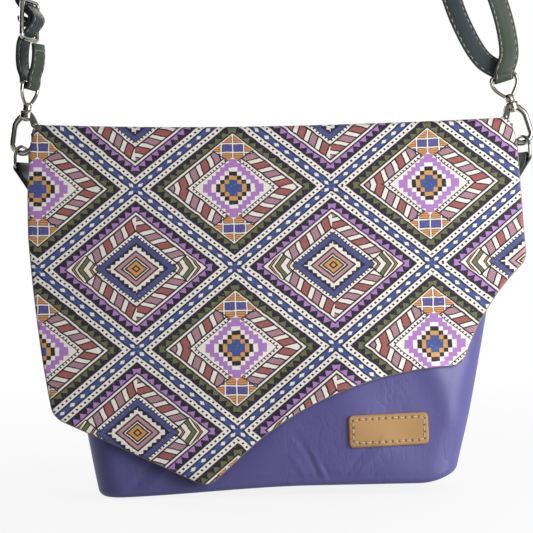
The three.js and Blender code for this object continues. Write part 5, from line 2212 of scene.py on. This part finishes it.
@dataclass
class Strap(Assembly):
    """The shoulder strap: one leather ribbon, doubled by the slider, sewn along both edges.

    The loops round the left eye's bar and the slider's bar are distances out of the strap's face and up from
    the bar. The loop round the right eye's bar has steps from it with a yaw, the runs places with a yaw.
    """

    width: float = 12.0
    thickness: float = 2.2
    edge: float = 0.8
    channel: float = 0.16
    channel_half: float = 0.5
    crown: Pair = (1.5, 0.05)
    sewing_at: float = 4.45
    pitch: float = 4.2
    margin: float = 3.0
    stitch: Stitch = Stitch(3.0, 0.56, 0.16)
    end_stitch: Stitch = Stitch(2.3, 0.56, 0.12)
    end_step: float = 2.7
    steps: int = 9
    left_loop: tuple[Pair, ...] = (
        (6.5, 24.0), (6.8, 18.0), (5.6, 10.0), (3.2, 4.0), (2.7, 0.0), (1.89, -1.89),
        (0.0, -2.7), (-1.89, -1.89), (-2.7, 0.0), (-3.2, 4.0), (-5.2, 10.0), (-5.6, 18.0),
    )
    weave: tuple[Pair, ...] = ((-3.7, -12.0), (2.2, -6.0), (6.5, 0.0), (2.6, 6.0), (-3.7, 12.0), (-4.3, 22.0))
    lower_run: tuple[tuple[float, ...], ...] = (
        (-132, 12.4, 330, 66), (-105, 11.6, 387, 71), (-73, 11, 449, 77), (-42, 10.4, 505, 83),
        (-19, 10, 541, 87), (-9, 10, 551, 89), (0, 10, 554, 90), (9, 10, 551, 92), (20, 10, 541, 96),
        (45, 10.6, 489, 112), (68, 11.6, 431, 130), (89.4, 13, 373, 150), (106, 14.6, 319, 168),
        (119, 15.6, 279, 178), (132, 15.6, 256, 180),
    )
    right_loop: tuple[tuple[float, ...], ...] = (
        (-0.6, 2.7, 2.6, 180), (0, 2.565, -0.4, 180), (0.5, 1.62, -2.16, 180), (0.6, 0, -2.7, 180),
        (0.6, -1.62, -2.16, 180), (0.6, -2.565, -0.4, 180), (0.8, -2.7, 2.6, 180), (3.6, -3.7, 12, 181),
    )
    upper_run: tuple[tuple[float, ...], ...] = (
        (145.6, 8.2, 274, 184), (139, 7.6, 297, 190), (122, 8, 337, 203), (98, 8.8, 389, 220),
        (73, 9.6, 443, 238), (48, 10, 501, 254), (23, 10, 549, 266), (10, 10, 560, 269), (0, 10, 562.6, 270),
        (-10, 10, 560, 269), (-23, 10, 549, 266), (-50, 10.8, 502, 262), (-84, 11.8, 441, 257),
        (-115, 12.8, 380, 252), (-140, 13.8, 328, 246),
    )
    slider_loop: tuple[Pair, ...] = (
        (-8.2, 21.0), (-6.4, 12.0), (-1.2, 6.0), (3.4, 2.0), (3.7, -0.4), (2.22, -2.96),
        (-1.11, -3.515), (-3.7, -0.4), (-4.4, 2.0),
    )

    def route(self) -> Array:
        """Gathers the points that the strap passes.

        Returns:
            Places with a yaw and a tilt, from the end sewn round the left eye, through the slider, over to
            the right eye and back to the slider's bar.
        """
        gear = self.gear
        yaw, lean = -gear.left_eye_yaw_deg, gear.slider_lean_deg
        face = math.sin(math.radians(yaw)), -math.cos(math.radians(yaw)), 0.0
        left = np.array(self.left_loop) @ np.array([face, (0.0, 0.0, 1.0)]) + gear.bar(Side.LEFT)
        beside = np.array([(0.0, -1.0, 0.0), (0.0, 0.0, 1.0)]) @ gear.slider_turn().T
        weave, last = (np.array(p) @ beside + gear.slider_at() for p in (self.weave, self.slider_loop))
        return chain(
            aimed(left, yaw, -lean),
            aimed(weave, yaw, -lean),
            aimed(self.lower_run, 0.0),
            aimed(np.array(self.right_loop) + np.append(gear.bar(Side.RIGHT), 0.0), -gear.right_lean_deg),
            aimed(self.upper_run, 0.0),
            aimed(last, yaw + 180.0, lean),
        )

    def profile(self) -> Array:
        """Draws the strap's section.

        Returns:
            Rounded edges and a shallow channel under each row of sewing; the second half is the first turned
            half round.
        """
        x, y = self.width / 2.0 - self.edge, self.thickness / 2.0 - self.edge
        line, half = self.sewing_at, self.channel_half
        crown_x, crown = self.crown
        channel = np.array([line + half, line, line - half])
        face_x = chain(channel, [crown_x, -crown_x], -channel[::-1])
        dip = np.array([0.0, -self.channel, 0.0, crown, crown, 0.0, -self.channel, 0.0])
        face = points_of(face_x, self.thickness / 2.0 + dip)
        lower, upper = arc(x, -y, self.edge, -90.0, 0.0, 3), arc(x, y, self.edge, 0.0, 90.0, 3)
        first = chain(lower, upper, face)
        return chain(first, -first)

    def sewing(self, path: Array, along: Array, across: Array, up: Array) -> Skin:
        """Sews both edges on both faces, and a short row across the first end.

        Args:
            path: The strap's middle line.
            along: Its direction at each point.
            across: The direction across the strap.
            up: The direction out of its upper face.

        Returns:
            All stitches.
        """
        line, high = lengths_along(path), self.thickness / 2.0
        marks = stitch_marks(line[-1], self.pitch, self.margin)
        rows = []
        for face in (-1.0, 1.0):
            for offset in (-self.sewing_at, self.sewing_at):
                seam = path + across * offset + up * face * (high - self.channel)
                spots, heading = along_line(seam, np.interp(marks, line, lengths_along(seam)))
                out = square_to(read_at(marks, line, face * up), heading)
                rows.append(self.stitch.row(spots, heading, out))
        out = np.repeat([-1.0, 1.0], 3)[:, None] * up[0]
        offset = np.tile([-self.end_step, 0.0, self.end_step], 2)[:, None]
        spots = path[0] + along[0] * self.pitch + across[0] * offset + out * high
        rows.append(self.end_stitch.row(spots, np.broadcast_to(across[0], spots.shape), out))
        return Skin.joined(rows)

    def build(self) -> list[Piece]:
        """Returns:
            The ribbon and its sewing.
        """
        route = smooth_path(self.route(), self.steps)
        path, yaw, tilt = route[:, :3], np.radians(route[:, 3]), np.radians(route[:, 4])
        along = unit(np.gradient(path, axis=0))
        wanted = points_of(np.cos(yaw) * np.cos(tilt), np.sin(yaw) * np.cos(tilt), np.sin(tilt))
        across = square_to(wanted, along)
        up = np.cross(along, across)
        profile = self.profile()
        skin = sweep(path, across, up, profile, profile_v=np.append(profile[:, 0], profile[0, 0]))
        below = np.roll(profile[:, 1], -1) + profile[:, 1] < 0.0
        skin.quad_kind = np.tile(below.astype(int), len(path) - 1)
        made = skin.piece("strap_ribbon", Finish.STRAP.made, Finish.STRAP_INSIDE.made)
        sewing = self.sewing(path, along, across, up)
        thread = sewing.piece("strap_sewing", Finish.STRAP_THREAD.made)
        fitted([made, thread], Body.BAG.value, "strap_leather", "strap")
        float(lengths_along(path)[-1]) * MM
        return [made, thread]


@dataclass
class Snap:
    """The flat magnetic snap under the flap, carried over from the CAD and polished."""

    nodes: tuple[str, ...] = ("snap_socket", "snap_stud", "snap_washer")

    crease_deg: float = 35.0

    def dress(self, carried: dict[str, Piece]) -> list[Piece]:
        """Gives the snap's CAD pieces the metal and smooths their turned faces.

        Args:
            carried: The CAD's own objects by node.

        Returns:
            The snap's pieces.
        """
        pieces = [carried[name] for name in self.nodes]
        for piece in pieces:
            piece.data.materials.clear()
            piece.data.materials.append(Finish.NICKEL.made)
            piece.data.shade_smooth()
            piece.data.set_sharp_from_angle(angle=math.radians(self.crease_deg))
        return pieces


# Studio


def seen_share(graph: Graph, mirrored: Signal) -> Signal:
    """1 for what the camera sees straight or through glass, a share for what glossy faces mirror, else 0."""
    rays = ("Is Camera Ray", "Is Transmission Ray", "Is Glossy Ray")
    straight, through, glossy = (graph.add("LightPath", out=ray) for ray in rays)
    return straight.higher(through).higher(glossy * mirrored)


@dataclass(frozen=True)
class Lamp:
    """A square area light, in metres and watts, and the point that it faces."""

    name: str
    at: Triple
    aim: Triple
    size: float
    watts: float

    def hang(self) -> None:
        """Hangs the light where the camera doesn't see it."""
        light = bpy.data.lights.new(self.name, "AREA")
        light.size, light.energy = self.size, self.watts
        lamp = bpy.data.objects.new(self.name, light)
        lamp.location = self.at
        lamp.visible_camera = False
        x, y, z = np.array(self.aim) - np.array(self.at)
        lamp.rotation_euler = (math.atan2(math.hypot(x, y), -z), 0.0, math.atan2(-x, y))
        bpy.context.scene.collection.objects.link(lamp)


@dataclass
class Studio:
    """Pale floor, soft light and the camera."""

    floor_z: float = -6.0
    floor_half: float = 3000.0
    floor_colour: Triple = (0.6, 0.6, 0.6)
    floor_glow: float = 0.86
    camera_at: Triple = (-0.005, -1.020, 0.1304)
    camera_roll_deg: float = 1.2
    sensor_mm: float = 36.0
    lens_mm: float = 112.6
    sky_slope: Triple = (0.9, 0.0, 0.4)
    sky_turn: Pair = (-0.9, 0.9)
    sky_strengths: Pair = (0.0, 0.46)
    backdrop_turn: Pair = (0.1, 0.8)
    white: Triple = (1.0, 1.0, 1.0)
    lamps: tuple[Lamp, ...] = (
        Lamp("key", (0.47, -0.34, 0.2), (0.04, 0.0, 0.09), 0.36, 3.6),
        Lamp("fill", (0.1, -1.4, 0.9), (0.0, 0.0, 0.15), 1.0, 1.3),
        Lamp("back", (0.4, 1.2, 0.7), (0.0, 0.0, 0.15), 0.8, 8.0),
        Lamp("side", (-0.9, 0.7, 0.45), (0.0, 0.0, 0.15), 0.6, 5.0),
    )

    def camera(self) -> None:
        """Sets up the camera, level and square to the front, rolled a little."""
        lens = bpy.data.cameras.new("camera")
        lens.sensor_width, lens.lens = self.sensor_mm, self.lens_mm
        lens.clip_start, lens.clip_end = 0.01, 30.0
        camera = bpy.data.objects.new("camera", lens)
        camera.location = self.camera_at
        camera.rotation_euler = (math.radians(90.0), math.radians(self.camera_roll_deg), 0.0)
        bpy.context.scene.collection.objects.link(camera)
        bpy.context.scene.camera = camera

    def floor(self) -> None:
        """Lays the floor: white to the camera, but for a share of its shading near the bag."""
        half = self.floor_half
        corners = np.array([(-half, -half), (half, -half), (half, half), (-half, half)])
        points = np.insert(corners, 2, self.floor_z, axis=1)
        sheet = Skin(points, np.array([[0, 1, 2, 3]]), np.zeros((1, 4, 2)), np.zeros(1, int))
        graph = Finishing("pale_floor")
        paint = graph.dress(Base_Color=self.floor_colour, Roughness=0.9, Specular_IOR_Level=0.0)
        away = graph.add("VectorMath", graph.place((1.0, 1.0, 1.0)), out="Value", operation="LENGTH")
        glow = away.lower(1.0) * (1.0 - self.floor_glow) + self.floor_glow
        share = seen_share(graph, glow) * glow
        seen = graph.add("MixShader", share, graph.shader, graph.add("Emission"))
        graph.put(graph.output.inputs[0], seen)
        sheet.piece("floor", paint)

    def sky(self) -> None:
        """Sets a soft sky, brighter from the right and from above, that the camera sees as white."""
        world = bpy.data.worlds.new("studio_sky")
        bpy.context.scene.world = world
        world.use_nodes = True
        graph = Graph(world.node_tree)
        toward = graph.add("TexCoord", out="Generated")
        slope = graph.add("VectorMath", toward, self.sky_slope, out="Value", operation="DOT_PRODUCT")
        soft = graph.add("Background", self.white, graph.ramp(slope, self.sky_turn, self.sky_strengths))
        behind = graph.ramp(graph.apart(toward)[1], self.backdrop_turn)
        plain = graph.add("Background", self.white)
        seen = graph.add("MixShader", seen_share(graph, behind), soft, plain)
        graph.put(graph.nodes.new("ShaderNodeOutputWorld").inputs[0], seen)

    def build(self) -> None:
        """Builds the whole set."""
        bpy.context.scene.view_settings.view_transform = "Standard"
        self.camera()
        self.floor()
        self.sky()
        for lamp in self.lamps:
            lamp.hang()


def main() -> None:
    """Builds the bag piece by piece and logs each piece's face count."""
    logging.basicConfig(level=logging.INFO, format="%(message)s")
    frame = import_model()
    Studio().build()
    bag = PouchForm(), Gear()
    made = []
    for assembly in (Strap, Pouch, Flap, Label):
        made += assembly(*bag).build()
    for side in Side:
        for assembly in (SideTab, DRing, SnapHook, SwivelEye):
            made += assembly(*bag, side).build()
    made += Slider(*bag).build()
    made += Snap().dress(frame["nodes"])
    for piece in made:
        log.info("%s: %d faces", piece.name, len(piece.data.polygons))


if __name__ == "__main__":
    main()
